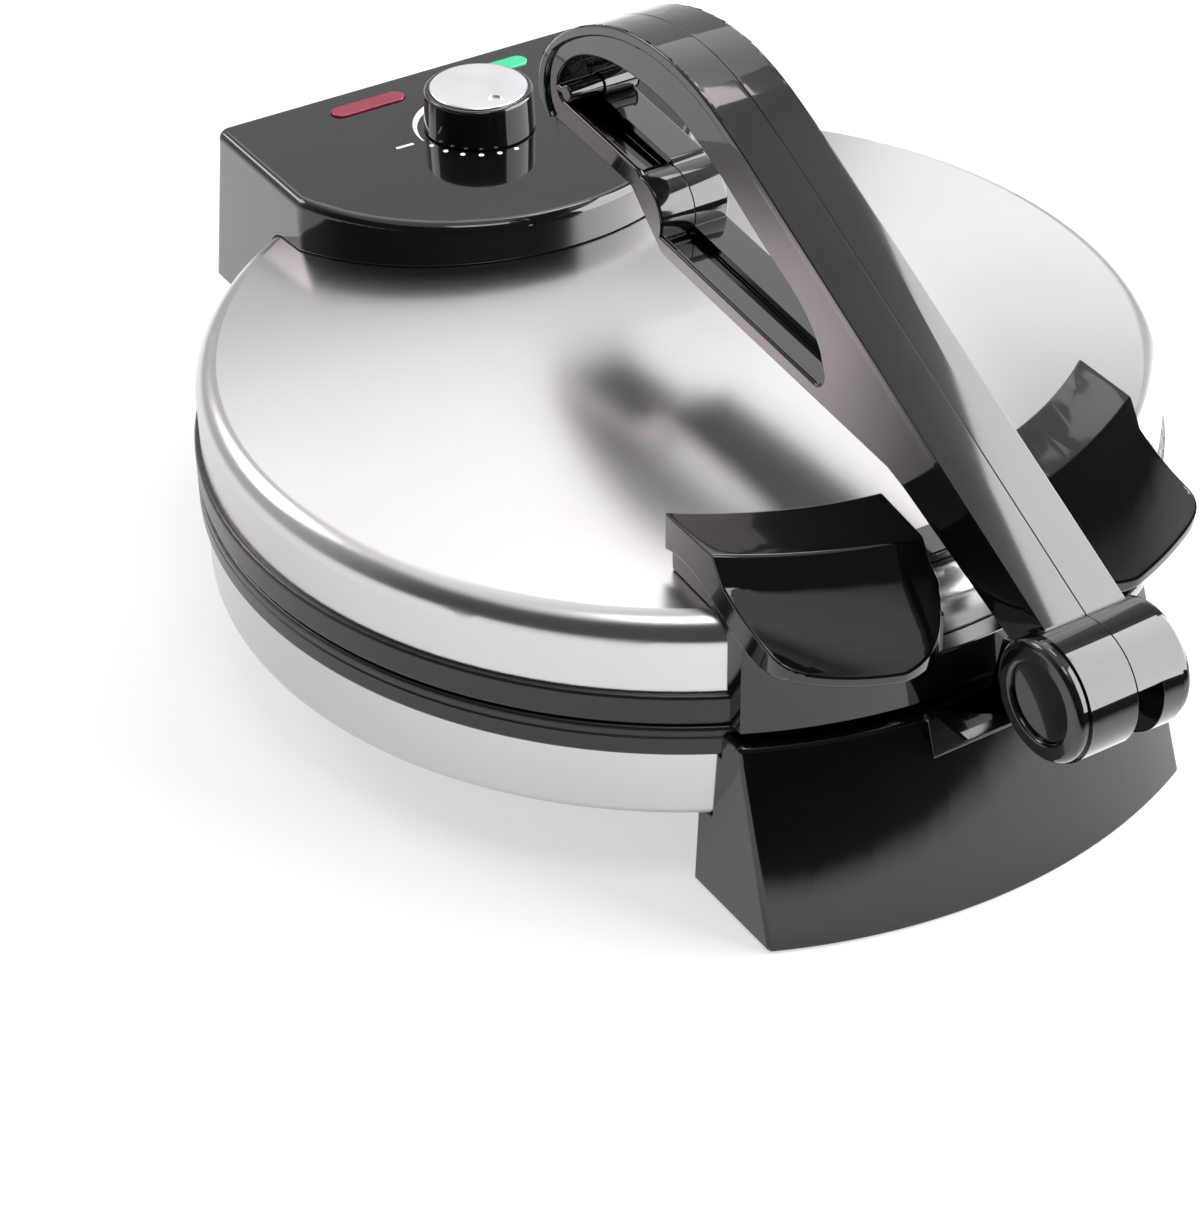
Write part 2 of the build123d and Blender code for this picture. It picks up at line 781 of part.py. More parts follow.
# Hinge bracket on the rear of the upper bezel, with two lugs down to the hinge axis
lug_top = upper_bezel_top - overlap
with BuildPart() as hinge_bracket:
    with BuildSketch(Plane.YZ.offset(-lug_inner - lug_width)):
        with BuildLine():
            Polyline(
                (bezel_radius - plastic_wall, upper_bezel_bottom + overlap),
                (hinge_y - overlap, upper_bezel_bottom - overlap),
                (hinge_y + hinge_hub / 2, upper_bezel_bottom - overlap),
                (hinge_y + hinge_hub / 2, lug_top),
                (bezel_radius - plastic_wall, lug_top),
                close=True,
            )
        make_face()
    extrude(amount=2 * (lug_inner + lug_width))
    for side in (-1, 1):
        with BuildSketch(Plane.YZ.offset(side * (lug_inner + lug_width / 2))):
            with Locations((hinge_y, hinge_z)):
                Circle(hinge_hub)
            with BuildLine():
                Polyline(
                    (hinge_y - hinge_hub, hinge_z),
                    (hinge_y + hinge_hub, hinge_z),
                    (hinge_y + hinge_hub / 2, lug_top),
                    (hinge_y - hinge_hub, lug_top),
                    close=True,
                )
            make_face()
        extrude(amount=lug_width / 2, both=True)
        with BuildSketch(Plane.YZ.offset(side * (lug_inner + lug_width / 2))):
            with Locations((hinge_y, hinge_z)):
                Circle(hinge_pin_radius + running_fit)
        extrude(amount=lug_width, both=True, mode=Mode.SUBTRACT)
    add(clear_of_body, mode=Mode.SUBTRACT)
hinge_bracket.part.label = "hinge_bracket"
export_step(hinge_bracket.part, "parts/hinge_bracket.step")


def housing_block(inset: float, bottom: float):
    """The housing's D-shaped block with its sloping rear wall, drawn in by an inset."""
    half = housing_half - inset
    arc = housing_arc - inset
    meet = housing_arc_y - sqrt(arc**2 - half**2)
    with BuildPart() as block:
        with BuildSketch(Plane.XY.offset(bottom)):
            with BuildLine():
                ThreePointArc((-half, meet), (0, housing_arc_y - arc), (half, meet))
                Polyline(
                    (half, meet),
                    (half, housing_rear_bottom),
                    (-half, housing_rear_bottom),
                    (-half, meet),
                )
            make_face()
        extrude(amount=housing_top - inset - bottom)
        with BuildSketch(Plane.YZ.offset(-housing_half)):
            with BuildLine():
                Polyline(
                    (0, bottom - overlap),
                    (housing_rear_bottom - inset, bottom - overlap),
                    (housing_rear_bottom - inset, housing_bottom),
                    (housing_rear_top - inset, housing_top - housing_edge),
                    (housing_rear_top - inset, housing_top),
                    (0, housing_top),
                    close=True,
                )
            make_face()
        extrude(amount=2 * housing_half, mode=Mode.INTERSECT)
    return block


# Control housing, a black shell over the rear of the dome, with two screw posts
floor_top = housing_bottom + housing_floor_thickness
housing_post_x = housing_half - plastic_wall - housing_post_radius + fit_gap
with BuildPart() as control_housing:
    add(housing_block(0, housing_bottom).part)
    uprights = control_housing.edges().filter_by(lambda e: e.center().Y > housing_rear_top - overlap)
    uprights = uprights.filter_by(lambda e: abs(e.center().X) > housing_half - overlap)
    fillet(uprights, housing_corner)
    fillet(control_housing.faces().sort_by(Axis.Z)[-1].edges(), housing_round)
    add(housing_block(plastic_wall, housing_bottom - overlap).part, mode=Mode.SUBTRACT)
    with BuildSketch(Plane.XY.offset(floor_top)):
        with Locations((-housing_post_x, hinge_y), (housing_post_x, hinge_y)):
            Circle(housing_post_radius)
            Circle(screw_radius + fit_gap / 3, mode=Mode.SUBTRACT)
    extrude(amount=housing_post_height)
    with BuildSketch(Plane.XY.offset(housing_top)):
        with Locations((0, knob_y)):
            Circle(spindle_radius + 2 * overlap)
        with Locations((-lens_x, lens_y), (lens_x, lens_y)):
            SlotOverall(lens_length + fit_gap, lens_width + fit_gap)
    extrude(amount=-plastic_wall - overlap, mode=Mode.SUBTRACT)
    add(clear_of_body, mode=Mode.SUBTRACT)
control_housing.part.label = "control_housing"
export_step(control_housing.part, "parts/control_housing.step")

# Floor that closes the housing behind the bezel, slotted for the hinge lugs
with BuildPart() as housing_floor:
    floor_half = housing_half - plastic_wall - fit_gap
    floor_front = sqrt(bezel_radius**2 - floor_half**2)
    floor_rear = housing_rear_bottom - plastic_wall - fit_gap - overlap
    with BuildSketch(Plane.XY.offset(housing_bottom)):
        with Locations((0, (floor_front + floor_rear) / 2)):
            Rectangle(2 * floor_half, floor_rear - floor_front)
        for side in (-1, 1):
            with Locations((side * (lug_inner + lug_width / 2), hinge_y)):
                Rectangle(lug_width + 2 * overlap, 2 * (floor_rear - hinge_y + overlap), mode=Mode.SUBTRACT)
        with Locations((-housing_post_x, hinge_y), (housing_post_x, hinge_y)):
            Circle(screw_radius + fit_gap / 3, mode=Mode.SUBTRACT)
    extrude(amount=housing_floor_thickness)
    with BuildSketch(Plane.XY.offset(housing_bottom - overlap)):
        Circle(bezel_radius + side_play)
    extrude(amount=housing_floor_thickness + 2 * overlap, mode=Mode.SUBTRACT)
housing_floor.part.label = "housing_floor"
export_step(housing_floor.part, "parts/housing_floor.step")

with BuildPart() as housing_screws:
    for side in (-1, 1):
        with BuildSketch(Plane.XY.offset(housing_bottom)):
            with Locations((side * housing_post_x, hinge_y)):
                Circle(screw_radius)
        extrude(amount=screw_depth)
        with BuildSketch(Plane.XY.offset(housing_bottom)):
            with Locations((side * housing_post_x, hinge_y)):
                Circle(screw_head_radius)
        extrude(amount=-screw_head_height)
housing_screws.part.label = "housing_screws"
export_step(housing_screws.part, "parts/housing_screws.step")

# Thermostat standing on the upper reflector, with a collar up through the dome
spindle_foot = reflector_roof + thermostat_height
with BuildPart() as thermostat:
    with BuildSketch(Plane.XY.offset(reflector_roof)):
        with Locations((0, knob_y)):
            Circle(thermostat_radius)
    extrude(amount=thermostat_height)
    with BuildSketch(Plane.XY.offset(spindle_foot)):
        with Locations((0, knob_y)):
            Circle(spindle_collar)
    extrude(amount=housing_top - plastic_wall - fit_gap - spindle_foot)
    with BuildSketch(Plane.XY.offset(spindle_foot)):
        with Locations((0, knob_y)):
            Circle(spindle_radius + running_fit)
    extrude(amount=housing_top, mode=Mode.SUBTRACT)
thermostat.part.label = "thermostat"
export_step(thermostat.part, "parts/thermostat.step")

# Turning parts: spindle, knob and the metal disc set in the knob's top
knob_bottom = housing_top + knob_lift
knob_top = knob_bottom + knob_height
with BuildPart() as thermostat_spindle:
    with BuildSketch(Plane.XY.offset(spindle_foot + fit_gap)):
        with Locations((0, knob_y)):
            Circle(spindle_radius)
    extrude(amount=knob_top - knob_wall - 2 * fit_gap - spindle_foot)
thermostat_spindle.part.label = "thermostat_spindle"
export_step(thermostat_spindle.part, "parts/thermostat_spindle.step")

with BuildPart() as knob:
    with BuildSketch(Plane.XY.offset(knob_bottom)):
        with Locations((0, knob_y)):
            Circle(knob_foot_radius)
    with BuildSketch(Plane.XY.offset(knob_top)):
        with Locations((0, knob_y)):
            Circle(knob_radius)
    loft()
    fillet(knob.faces().sort_by(Axis.Z)[-1].edges(), knob_edge)
    with BuildSketch(Plane.XY.offset(knob_bottom)):
        with Locations((0, knob_y)):
            Circle(knob_radius - knob_wall)
            Circle(knob_hub_radius, mode=Mode.SUBTRACT)
    extrude(amount=knob_height - knob_wall, mode=Mode.SUBTRACT)
    with BuildSketch(Plane.XY.offset(knob_bottom)):
        with Locations((0, knob_y)):
            Circle(spindle_radius + running_fit)
    extrude(amount=knob_height - knob_wall, mode=Mode.SUBTRACT)
    with BuildSketch(Plane.XY.offset(knob_top - cap_disc_rise / 2)):
        with Locations((0, knob_y)):
            Circle(cap_disc_radius + fit_gap / 2)
    extrude(amount=knob_height, mode=Mode.SUBTRACT)
knob.part.label = "knob"
export_step(knob.part, "parts/knob.step")

with BuildPart() as knob_cap:
    with BuildSketch(Plane.XY.offset(knob_top - cap_disc_rise / 2)):
        with Locations((0, knob_y)):
            Circle(cap_disc_radius)
    extrude(amount=cap_disc_rise)
    chamfer(knob_cap.faces().sort_by(Axis.Z)[-1].edges(), fit_gap)
    with BuildSketch(Plane.XY.offset(knob_top + cap_disc_rise / 2)):
        with Locations((0, knob_y - cap_disc_radius * 2 / 3)):
            Circle(cap_dimple_radius)
    extrude(amount=-cap_disc_rise / 2, mode=Mode.SUBTRACT)
knob_cap.part.label = "knob_cap"
export_step(knob_cap.part, "parts/knob_cap.step")


def lens(x: float):
    """A clear bar with rounded ends, set in its slot in the housing."""
    with BuildPart() as bar:
        with BuildSketch(Plane.XY.offset(housing_top - lens_depth)):
            with Locations((x, lens_y)):
                SlotOverall(lens_length, lens_width)
        extrude(amount=lens_depth + lens_rise)
        fillet(bar.faces().sort_by(Axis.Z)[-1].edges(), lens_rise / 2)
    return bar.part


with BuildPart() as red_lens:
    add(lens(-lens_x))
red_lens.part.label = "red_lens"
export_step(red_lens.part, "parts/red_lens.step")

with BuildPart() as green_lens:
    add(lens(lens_x))
green_lens.part.label = "green_lens"
export_step(green_lens.part, "parts/green_lens.step")

with BuildPart() as indicator_lamps:
    lamp_height = housing_top - lens_depth - fit_gap - lamp_radius
    for side in (-1, 1):
        with BuildSketch(Plane.YZ.offset(side * lens_x)):
            with Locations((lens_y, lamp_height)):
                Circle(lamp_radius)
        extrude(amount=lamp_length / 2, both=True)
indicator_lamps.part.label = "indicator_lamps"
export_step(indicator_lamps.part, "parts/indicator_lamps.step")


def wing_side(distance: float, gap: float) -> tuple:
    """Points of one wing's side view: top from rear to lip, then underside from rear to lip."""
    share = distance / handle_half
    rear = (
        -sqrt(handle_rear_radius**2 - distance**2),
        handle_top + handle_rear_lift * share,
    )
    deck = (
        -sqrt(handle_deck_radius**2 - distance**2),
        handle_deck_edge + handle_deck_lift * share,
    )
    step = (
        -sqrt(handle_step_radius**2 - distance**2),
        handle_step_edge + handle_step_lift * share,
    )
    lip = (
        -sqrt((handle_lip_radius + overlap) ** 2 - distance**2),
        handle_lip + handle_lip_lift * share**4,
    )
    dish = ((step[0] + lip[0]) / 2, (step[1] + lip[1]) / 2 - handle_dish)
    depths = (handle_rear_depth, handle_deck_depth, handle_step_depth, handle_lip_depth)
    places = zip((rear, deck, step, lip), depths)
    under = [(place[0], place[1] - depth - gap) for place, depth in places]
    return (rear, deck, step, dish, lip), under


def wing_loft(side: int, gap: float, floor: float = 0):
    """One wing, or with a floor height the block below its underside, as a loft along X."""
    inner = handle_slot_half - overlap
    outer = handle_half + overlap
    with BuildPart() as body:
        for station in range(5):
            distance = outer + (inner - outer) * station / 4
            top, under = wing_side(distance, gap)
            with BuildSketch(Plane.YZ.offset(side * distance)):
                with BuildLine():
                    if floor:
                        Spline(*under)
                        Polyline(under[-1], (under[-1][0], floor), (under[0][0], floor), under[0])
                    else:
                        Polyline(*top[:3])
                        Spline(*top[2:])
                        Line(top[-1], under[-1])
                        Spline(*under)
                        Line(under[0], top[0])
                make_face()
        loft()
    return body.part


def wing_plan():
    """Upright cutter with the plan of the right wing."""
    end = handle_half
    start = handle_slot_half
    lip = handle_lip_radius
    bend = (end - handle_corner, -sqrt(lip**2 - (end - handle_corner) ** 2))
    turn = (start + 2 * handle_corner, -sqrt(lip**2 - (start + 2 * handle_corner) ** 2))
    heel = (start, -sqrt((skirt_radius - 3 * overlap) ** 2 - start**2))
    middle = (turn[0] + bend[0]) / 2
    rear = -handle_rear_radius / 2
    with BuildPart() as cutter:
        with BuildSketch(Plane.XY.offset(upper_bezel_top)):
            with BuildLine():
                Line((start, rear), heel)
                Spline(heel, turn, tangents=((0.55, -1), (1, -0.05)))
                ThreePointArc(turn, (middle, -sqrt(lip**2 - middle**2)), bend)
                Spline(bend, (end, bend[1] + handle_corner), tangents=((1, 0.35), (0, 1)))
                Polyline((end, bend[1] + handle_corner), (end, rear), (start, rear))
            make_face()
        extrude(amount=crown)
    return cutter.part


# Lid handle, upper piece: two flared wings with the lever's slot between them
right_wing = wing_loft(1, 0) & wing_plan()
with BuildPart() as handle_upper:
    add(right_wing)
    mirror(about=Plane.YZ)
    add(clear_of_body, mode=Mode.SUBTRACT)
handle_upper.part.label = "handle_upper"
export_step(handle_upper.part, "parts/handle_upper.step")


def arc_block(inner: float, outer: float, half: float, bottom: float, top: float):
    """A block between two radii at the front, cut off at a half width."""
    with BuildPart() as block:
        with BuildSketch(Plane.XY.offset(bottom)):
            Circle(outer)
            Circle(inner, mode=Mode.SUBTRACT)
            with Locations((0, -outer)):
                Rectangle(2 * half, 2 * outer, mode=Mode.INTERSECT)
        extrude(amount=top - bottom)
    return block.part


# Lid handle, lower piece: the skirt in front of the bezel and the saddle under the wings
with BuildPart() as handle_lower:
    for side in (-1, 1):
        add(wing_loft(side, handle_seam, skirt_bottom))
    add(
        arc_block(handle_rear_radius / 2, skirt_radius, skirt_half, skirt_bottom, handle_top),
        mode=Mode.INTERSECT,
    )
    add(arc_block(shell_radius, skirt_radius, handle_slot_half - fit_gap, skirt_bottom, valley_top))
    add(arc_block(saddle_rear, saddle_front, handle_slot_half - fit_gap, shoulder_bottom, saddle_top))
    for side in (-1, 1):
        hollow = wing_loft(side, handle_seam + plastic_wall, upper_bezel_top + plastic_wall)
        with BuildPart(mode=Mode.PRIVATE) as core:
            add(hollow)
            add(
                arc_block(
                    handle_rear_radius + plastic_wall,
                    skirt_radius - plastic_wall,
                    skirt_half - plastic_wall,
                    upper_bezel_top,
                    handle_top,
                ),
                mode=Mode.INTERSECT,
            )
            with BuildSketch(Plane.XY):
                Rectangle(2 * (handle_slot_half + plastic_wall), 2 * handle_lip_radius)
            extrude(amount=handle_top, mode=Mode.SUBTRACT)
        add(core.part, mode=Mode.SUBTRACT)
    add(clear_of_body, mode=Mode.SUBTRACT)
handle_lower.part.label = "handle_lower"
export_step(handle_lower.part, "parts/handle_lower.step")


def lever_outline():
    """Side view of the lever without its barrel: straight arm, arch, nose and lower border."""
    with BuildSketch() as outline:
        with BuildLine():
            Line(arm_root, arm_shoulder)
            Spline(arm_shoulder, *arch, nose_top, tangents=(arm_run, (0.15, -1)))
            Spline(nose_top, nose_end, tangents=((0.15, -1), (-1, 0)))
            Polyline(nose_end, *border, (0, 0), arm_root)
        make_face()
        for corner in border[:3]:
            fillet(outline.vertices().sort_by_distance(Vector(*corner))[0], border_bend)
    return outline.sketch


def lever_window():
    """Side view of the opening in the lever."""
    with BuildSketch() as window:
        with BuildLine():
            Spline(window_rise[0], *window_rise[1:])
            Polyline(window_rise[-1], *window_floor, window_rise[0])
        make_face()
        for corner in window_floor:
            fillet(window.vertices().sort_by_distance(Vector(*corner))[0], window_bend)
    return window.sketch


def lever_flange():
    """Strip along the top of the arm, over the arch and round the nose."""
    with BuildSketch() as strip:
        add(lever_outline())
        add(lever_outline().moved(Location((0, -lever_flange_depth))), mode=Mode.SUBTRACT)
        with BuildSketch(mode=Mode.PRIVATE) as nose:
            add(lever_outline())
            add(lever_outline().moved(Location((-lever_flange_depth, 0))), mode=Mode.SUBTRACT)
            with Locations((nose_top[0], nose_top[1])):
                Rectangle(2 * big_post_radius, 2 * big_post_radius, mode=Mode.INTERSECT)
        add(nose.sketch)
    return strip.sketch


def lever_plane(x: float) -> Plane:
    """Upright plane across the barrel with its origin on the barrel's axis."""
    return Plane(origin=(x, barrel_y, barrel_z), x_dir=(0, 1, 0), z_dir=(1, 0, 0))


def lever_half(side: int, post: float, slotted: bool):
    """One clamshell half of the lever with its half of the barrel, its posts and its rims."""
    direction = side * (lever_web_half - lever_seam / 2)
    seam_plane = lever_plane(side * lever_seam / 2)
    four_ways = [(lever_skin, 0), (-lever_skin, 0), (0, lever_skin), (0, -lever_skin)]
    with BuildPart() as half:
        with BuildSketch(seam_plane):
            add(lever_outline())
            add(lever_window(), mode=Mode.SUBTRACT)
        extrude(amount=direction)
        with BuildSketch(seam_plane):
            add(lever_outline())
            for shift in four_ways:
                add(lever_outline().moved(Location(shift)), mode=Mode.INTERSECT)
            for shift in four_ways:
                add(lever_window().moved(Location(shift)), mode=Mode.SUBTRACT)
            Circle(barrel_radius + lever_skin, mode=Mode.SUBTRACT)
            with Locations((big_post_y, big_post_z)):
                Circle(big_post_radius, mode=Mode.SUBTRACT)
        extrude(amount=side * (lever_web_half - lever_skin), mode=Mode.SUBTRACT)
        with BuildSketch(seam_plane):
            with Locations((big_post_y, big_post_z)):
                Circle(big_post_radius)
            add(lever_outline(), mode=Mode.INTERSECT)
        extrude(amount=direction)
        with BuildSketch(seam_plane):
            with Locations((tip_post_y, tip_post_z)):
                Circle(post)
                Rectangle(tip_web, lever_skin, align=(Align.MIN, Align.CENTER))
        extrude(amount=direction)
        with BuildSketch(lever_plane(side * (lever_web_half - lever_skin))):
            add(lever_flange())
        extrude(amount=side * (lever_flange_half - lever_web_half + lever_skin))
        steps = [
            (barrel_body, barrel_radius),
            (barrel_neck, barrel_radius - barrel_groove),
            (barrel_half, rim_radius),
        ]
        for reach, radius in steps:
            with BuildSketch(seam_plane):
                Circle(radius)
            extrude(amount=side * (reach - lever_seam / 2))
        end_face = half.faces().sort_by(Axis.X)[-1 if side > 0 else 0]
        fillet(end_face.edges(), rim_round)
        with BuildSketch(lever_plane(side * barrel_half)):
            Circle(cap_radius + fit_gap)
        extrude(amount=side * (cap_seat - barrel_half), mode=Mode.SUBTRACT)
        end_face = half.faces().sort_by(Axis.X)[-1 if side > 0 else 0]
        fillet(end_face.edges().sort_by(SortBy.LENGTH)[0], rim_lip_round)
        with BuildSketch(lever_plane(0)):
            Circle(pivot_radius + running_fit)
        extrude(amount=side * barrel_half, mode=Mode.SUBTRACT)
        if slotted:
            reach = barrel_radius + overlap
            play = pivot_ear_height / 2 + side_play
            far = 2 * reach
            with BuildSketch(lever_plane(0)):
                Circle(ear_hub + side_play)
                for turn in (pivot_ear_angle, pivot_ear_angle - lever_travel):
                    with Locations(Location((0, 0, 0), (0, 0, turn))):
                        Rectangle(far, 2 * play, align=(Align.MIN, Align.CENTER))
                with BuildLine():
                    turns = [radians(pivot_ear_angle - lever_travel * part / 4) for part in range(5)]
                    rim = [(far * cos(turn), far * sin(turn)) for turn in turns]
                    Polyline((0, 0), *rim, close=True)
                make_face()
            extrude(amount=pivot_ear_thickness + 2 * fit_gap, mode=Mode.SUBTRACT)
    return half


# Left half of the lever: closed round the pin, open under the window's floor, blind screw holes
screw_places = [(tip_post_y, tip_post_z), (big_post_y, big_post_z)]
screw_hole = screw_radius + fit_gap / 3
with BuildPart() as lever_left:
    add(lever_half(-1, tip_post_radius, False).part)
    with BuildSketch(lever_plane(-lever_seam / 2)):
        add(lever_window().moved(Location((0, -lever_skin - overlap))))
        add(lever_window(), mode=Mode.SUBTRACT)
        with Locations((big_post_y, big_post_z)):
            Circle(big_post_radius, mode=Mode.SUBTRACT)
    extrude(amount=-(lever_web_half - lever_skin), mode=Mode.SUBTRACT)
    with BuildSketch(lever_plane(0)):
        with Locations(*screw_places):
            Circle(screw_hole)
    extrude(amount=-screw_hold - fit_gap, mode=Mode.SUBTRACT)
lever_left.part.label = "lever_left"
export_step(lever_left.part, "parts/lever_left.step")

# Right half of the lever, slotted for the ear of the foot
with BuildPart() as lever_right:
    add(lever_half(1, tip_sleeve_radius, True).part)
    with BuildSketch(lever_plane(0)):
        with Locations(*screw_places):
            Circle(screw_hole)
    extrude(amount=lever_web_half, mode=Mode.SUBTRACT)
    with BuildSketch(lever_plane(lever_web_half)):
        with Locations(*screw_places):
            Circle(screw_head_radius + fit_gap / 3)
    extrude(amount=-screw_head_height - screw_sink, mode=Mode.SUBTRACT)
lever_right.part.label = "lever_right"
export_step(lever_right.part, "parts/lever_right.step")

# Two discs that close the ends of the barrel
with BuildPart() as barrel_caps:
    for side in (-1, 1):
        with BuildSketch(lever_plane(side * cap_seat)):
            Circle(cap_radius)
        extrude(amount=side * cap_thickness)
        dish_place = side * (cap_seat + cap_thickness + cap_dish_radius - cap_dish_depth)
        with Locations((dish_place, barrel_y, barrel_z)):
            Sphere(cap_dish_radius, mode=Mode.SUBTRACT)
barrel_caps.part.label = "barrel_caps"
export_step(barrel_caps.part, "parts/barrel_caps.step")

# Screws that hold the lever halves together, put in from the right
with BuildPart() as lever_screws:
    head_bottom = lever_web_half - screw_head_height - screw_sink
    with BuildSketch(lever_plane(-screw_hold)):
        with Locations(*screw_places):
            Circle(screw_radius)
    extrude(amount=screw_hold + head_bottom)
    with BuildSketch(lever_plane(head_bottom)):
        with Locations(*screw_places):
            Circle(screw_head_radius)
    extrude(amount=screw_head_height)
lever_screws.part.label = "lever_screws"
export_step(lever_screws.part, "parts/lever_screws.step")
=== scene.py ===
"""Looks of a countertop flatbread press: finishes, smooth outer pieces, studio and camera."""

import json
import logging
import math
from dataclasses import dataclass, field
from enum import Enum

import bmesh
import bpy
from mathutils import Matrix, Vector


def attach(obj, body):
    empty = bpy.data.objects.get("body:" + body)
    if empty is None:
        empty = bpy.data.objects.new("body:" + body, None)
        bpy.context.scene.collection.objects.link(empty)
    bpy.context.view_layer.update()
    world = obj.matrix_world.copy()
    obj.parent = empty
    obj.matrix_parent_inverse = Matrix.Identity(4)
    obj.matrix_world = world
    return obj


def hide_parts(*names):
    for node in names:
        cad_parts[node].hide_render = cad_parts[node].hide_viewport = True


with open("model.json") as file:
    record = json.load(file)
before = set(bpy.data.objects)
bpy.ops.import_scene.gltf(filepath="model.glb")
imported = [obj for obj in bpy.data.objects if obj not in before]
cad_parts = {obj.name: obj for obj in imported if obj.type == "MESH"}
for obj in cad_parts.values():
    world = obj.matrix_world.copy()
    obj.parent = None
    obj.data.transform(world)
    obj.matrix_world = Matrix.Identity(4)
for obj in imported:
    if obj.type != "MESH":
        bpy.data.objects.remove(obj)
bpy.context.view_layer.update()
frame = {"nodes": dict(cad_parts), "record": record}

LOG = logging.getLogger("press")
MM = 0.001
RIM_RADIUS_MM = 168.0


class Body(Enum):
    """Moving bodies of the press."""

    BASE = "base"
    LID = "lid"
    DIAL = "dial"
    LEVER = "lever"


# Nodes, colours and materials


def linear(code: str) -> tuple[float, float, float, float]:
    """Turns an sRGB hex colour into linear values.

    Args:
        code: Six hex digits, such as "1A1B1C".

    Returns:
        Linear red, green, blue and an alpha of 1.
    """
    parts = [int(code[place : place + 2], 16) / 255 for place in (0, 2, 4)]
    curve = [part / 12.92 if part <= 0.04045 else ((part + 0.055) / 1.055) ** 2.4 for part in parts]
    return (curve[0], curve[1], curve[2], 1.0)


def add_node(tree: bpy.types.NodeTree, kind: str, options: dict | None = None,
             values: dict | None = None, links: dict | None = None) -> bpy.types.Node:
    """Adds one node with its settings and its incoming links.

    Args:
        tree: The node tree that gets the node.
        kind: Blender's name of the node's type.
        options: Attributes of the node itself.
        values: Fixed values by input name or number.
        links: Output sockets by input name or number.

    Returns:
        The new node.
    """
    node = tree.nodes.new(kind)
    for name, value in (options or {}).items():
        setattr(node, name, value)
    for name, value in (values or {}).items():
        node.inputs[name].default_value = value
    for name, socket in (links or {}).items():
        tree.links.new(socket, node.inputs[name])
    return node


@dataclass(frozen=True)
class Finish:
    """A surface as it is made: its colour, its gloss and the fine texture that the eye sees.

    Args:
        name: Real material and process.
        colour: Main sRGB colour.
        metallic: 1 for bare metal, 0 for anything else.
        roughness: Mean micro-roughness.
        ior: Refractive index; a metal keeps the default.
        grain_mm: Size of the texture's grain.
        relief_mm: Height of the texture.
        gloss_change: Spread of roughness from place to place.
        patch_mm: Size of those places.
        tint: Second sRGB colour that the patches lean to.
        tint_share: How far they lean to it.
    """

    name: str
    colour: str
    metallic: float = 0.0
    roughness: float = 0.4
    ior: float = 1.5
    grain_mm: float = 0.6
    relief_mm: float = 0.01
    gloss_change: float = 0.04
    patch_mm: float = 30.0
    tint: str = ""
    tint_share: float = 0.3

    def coordinates(self, tree: bpy.types.NodeTree) -> bpy.types.NodeSocket:
        """Adds the coordinates that keep patterns at their real scale.

        Args:
            tree: The material's node tree.

        Returns:
            A socket with object coordinates in metres.
        """
        return add_node(tree, "ShaderNodeTexCoord").outputs["Object"]

    def grain(self, tree: bpy.types.NodeTree, place: bpy.types.NodeSocket) -> bpy.types.NodeSocket:
        """Height pattern of the surface texture.

        Args:
            tree: The material's node tree.
            place: Coordinates in metres.

        Returns:
            A socket with values from 0 to 1.
        """
        noise = add_node(tree, "ShaderNodeTexNoise",
                         values={"Scale": 1 / (self.grain_mm * MM), "Detail": 3.0, "Roughness": 0.6},
                         links={"Vector": place})
        return noise.outputs["Fac"]

    def shader(self, tree: bpy.types.NodeTree) -> bpy.types.Node:
        """Adds the surface shader with its fixed values set on its own sockets.

        Args:
            tree: The material's node tree.

        Returns:
            The shader node.
        """
        values = {"Base Color": linear(self.colour), "Metallic": self.metallic, "Roughness": self.roughness}
        if not self.metallic:
            values["IOR"] = self.ior
        return add_node(tree, "ShaderNodeBsdfPrincipled", values=values)

    def build(self) -> bpy.types.Material:
        """Makes the material with its nodes.

        Returns:
            The new material.
        """
        material = bpy.data.materials.new(self.name)
        material.use_nodes = True
        tree = material.node_tree
        tree.nodes.clear()
        shader = self.shader(tree)
        place = self.coordinates(tree)
        patches = add_node(tree, "ShaderNodeTexNoise",
                           values={"Scale": 1 / (self.patch_mm * MM), "Detail": 4.0, "Roughness": 0.55},
                           links={"Vector": place}).outputs["Fac"]
        low = max(0.02, self.roughness - self.gloss_change)
        gloss = add_node(tree, "ShaderNodeMapRange",
                         values={"From Min": 0.3, "From Max": 0.7, "To Min": low,
                                 "To Max": self.roughness + self.gloss_change},
                         links={"Value": patches})
        tree.links.new(gloss.outputs["Result"], shader.inputs["Roughness"])
        if self.tint:
            share = add_node(tree, "ShaderNodeMapRange",
                             values={"From Min": 0.35, "From Max": 0.75, "To Max": self.tint_share},
                             links={"Value": patches})
            mix = add_node(tree, "ShaderNodeMix", options={"data_type": "RGBA"},
                           values={6: linear(self.colour), 7: linear(self.tint)},
                           links={0: share.outputs["Result"]})
            tree.links.new(mix.outputs[2], shader.inputs["Base Color"])
        bump = add_node(tree, "ShaderNodeBump", values={"Strength": 1.0, "Distance": self.relief_mm * MM},
                        links={"Height": self.grain(tree, place)})
        tree.links.new(bump.outputs["Normal"], shader.inputs["Normal"])
        add_node(tree, "ShaderNodeOutputMaterial", links={"Surface": shader.outputs[0]})
        return material


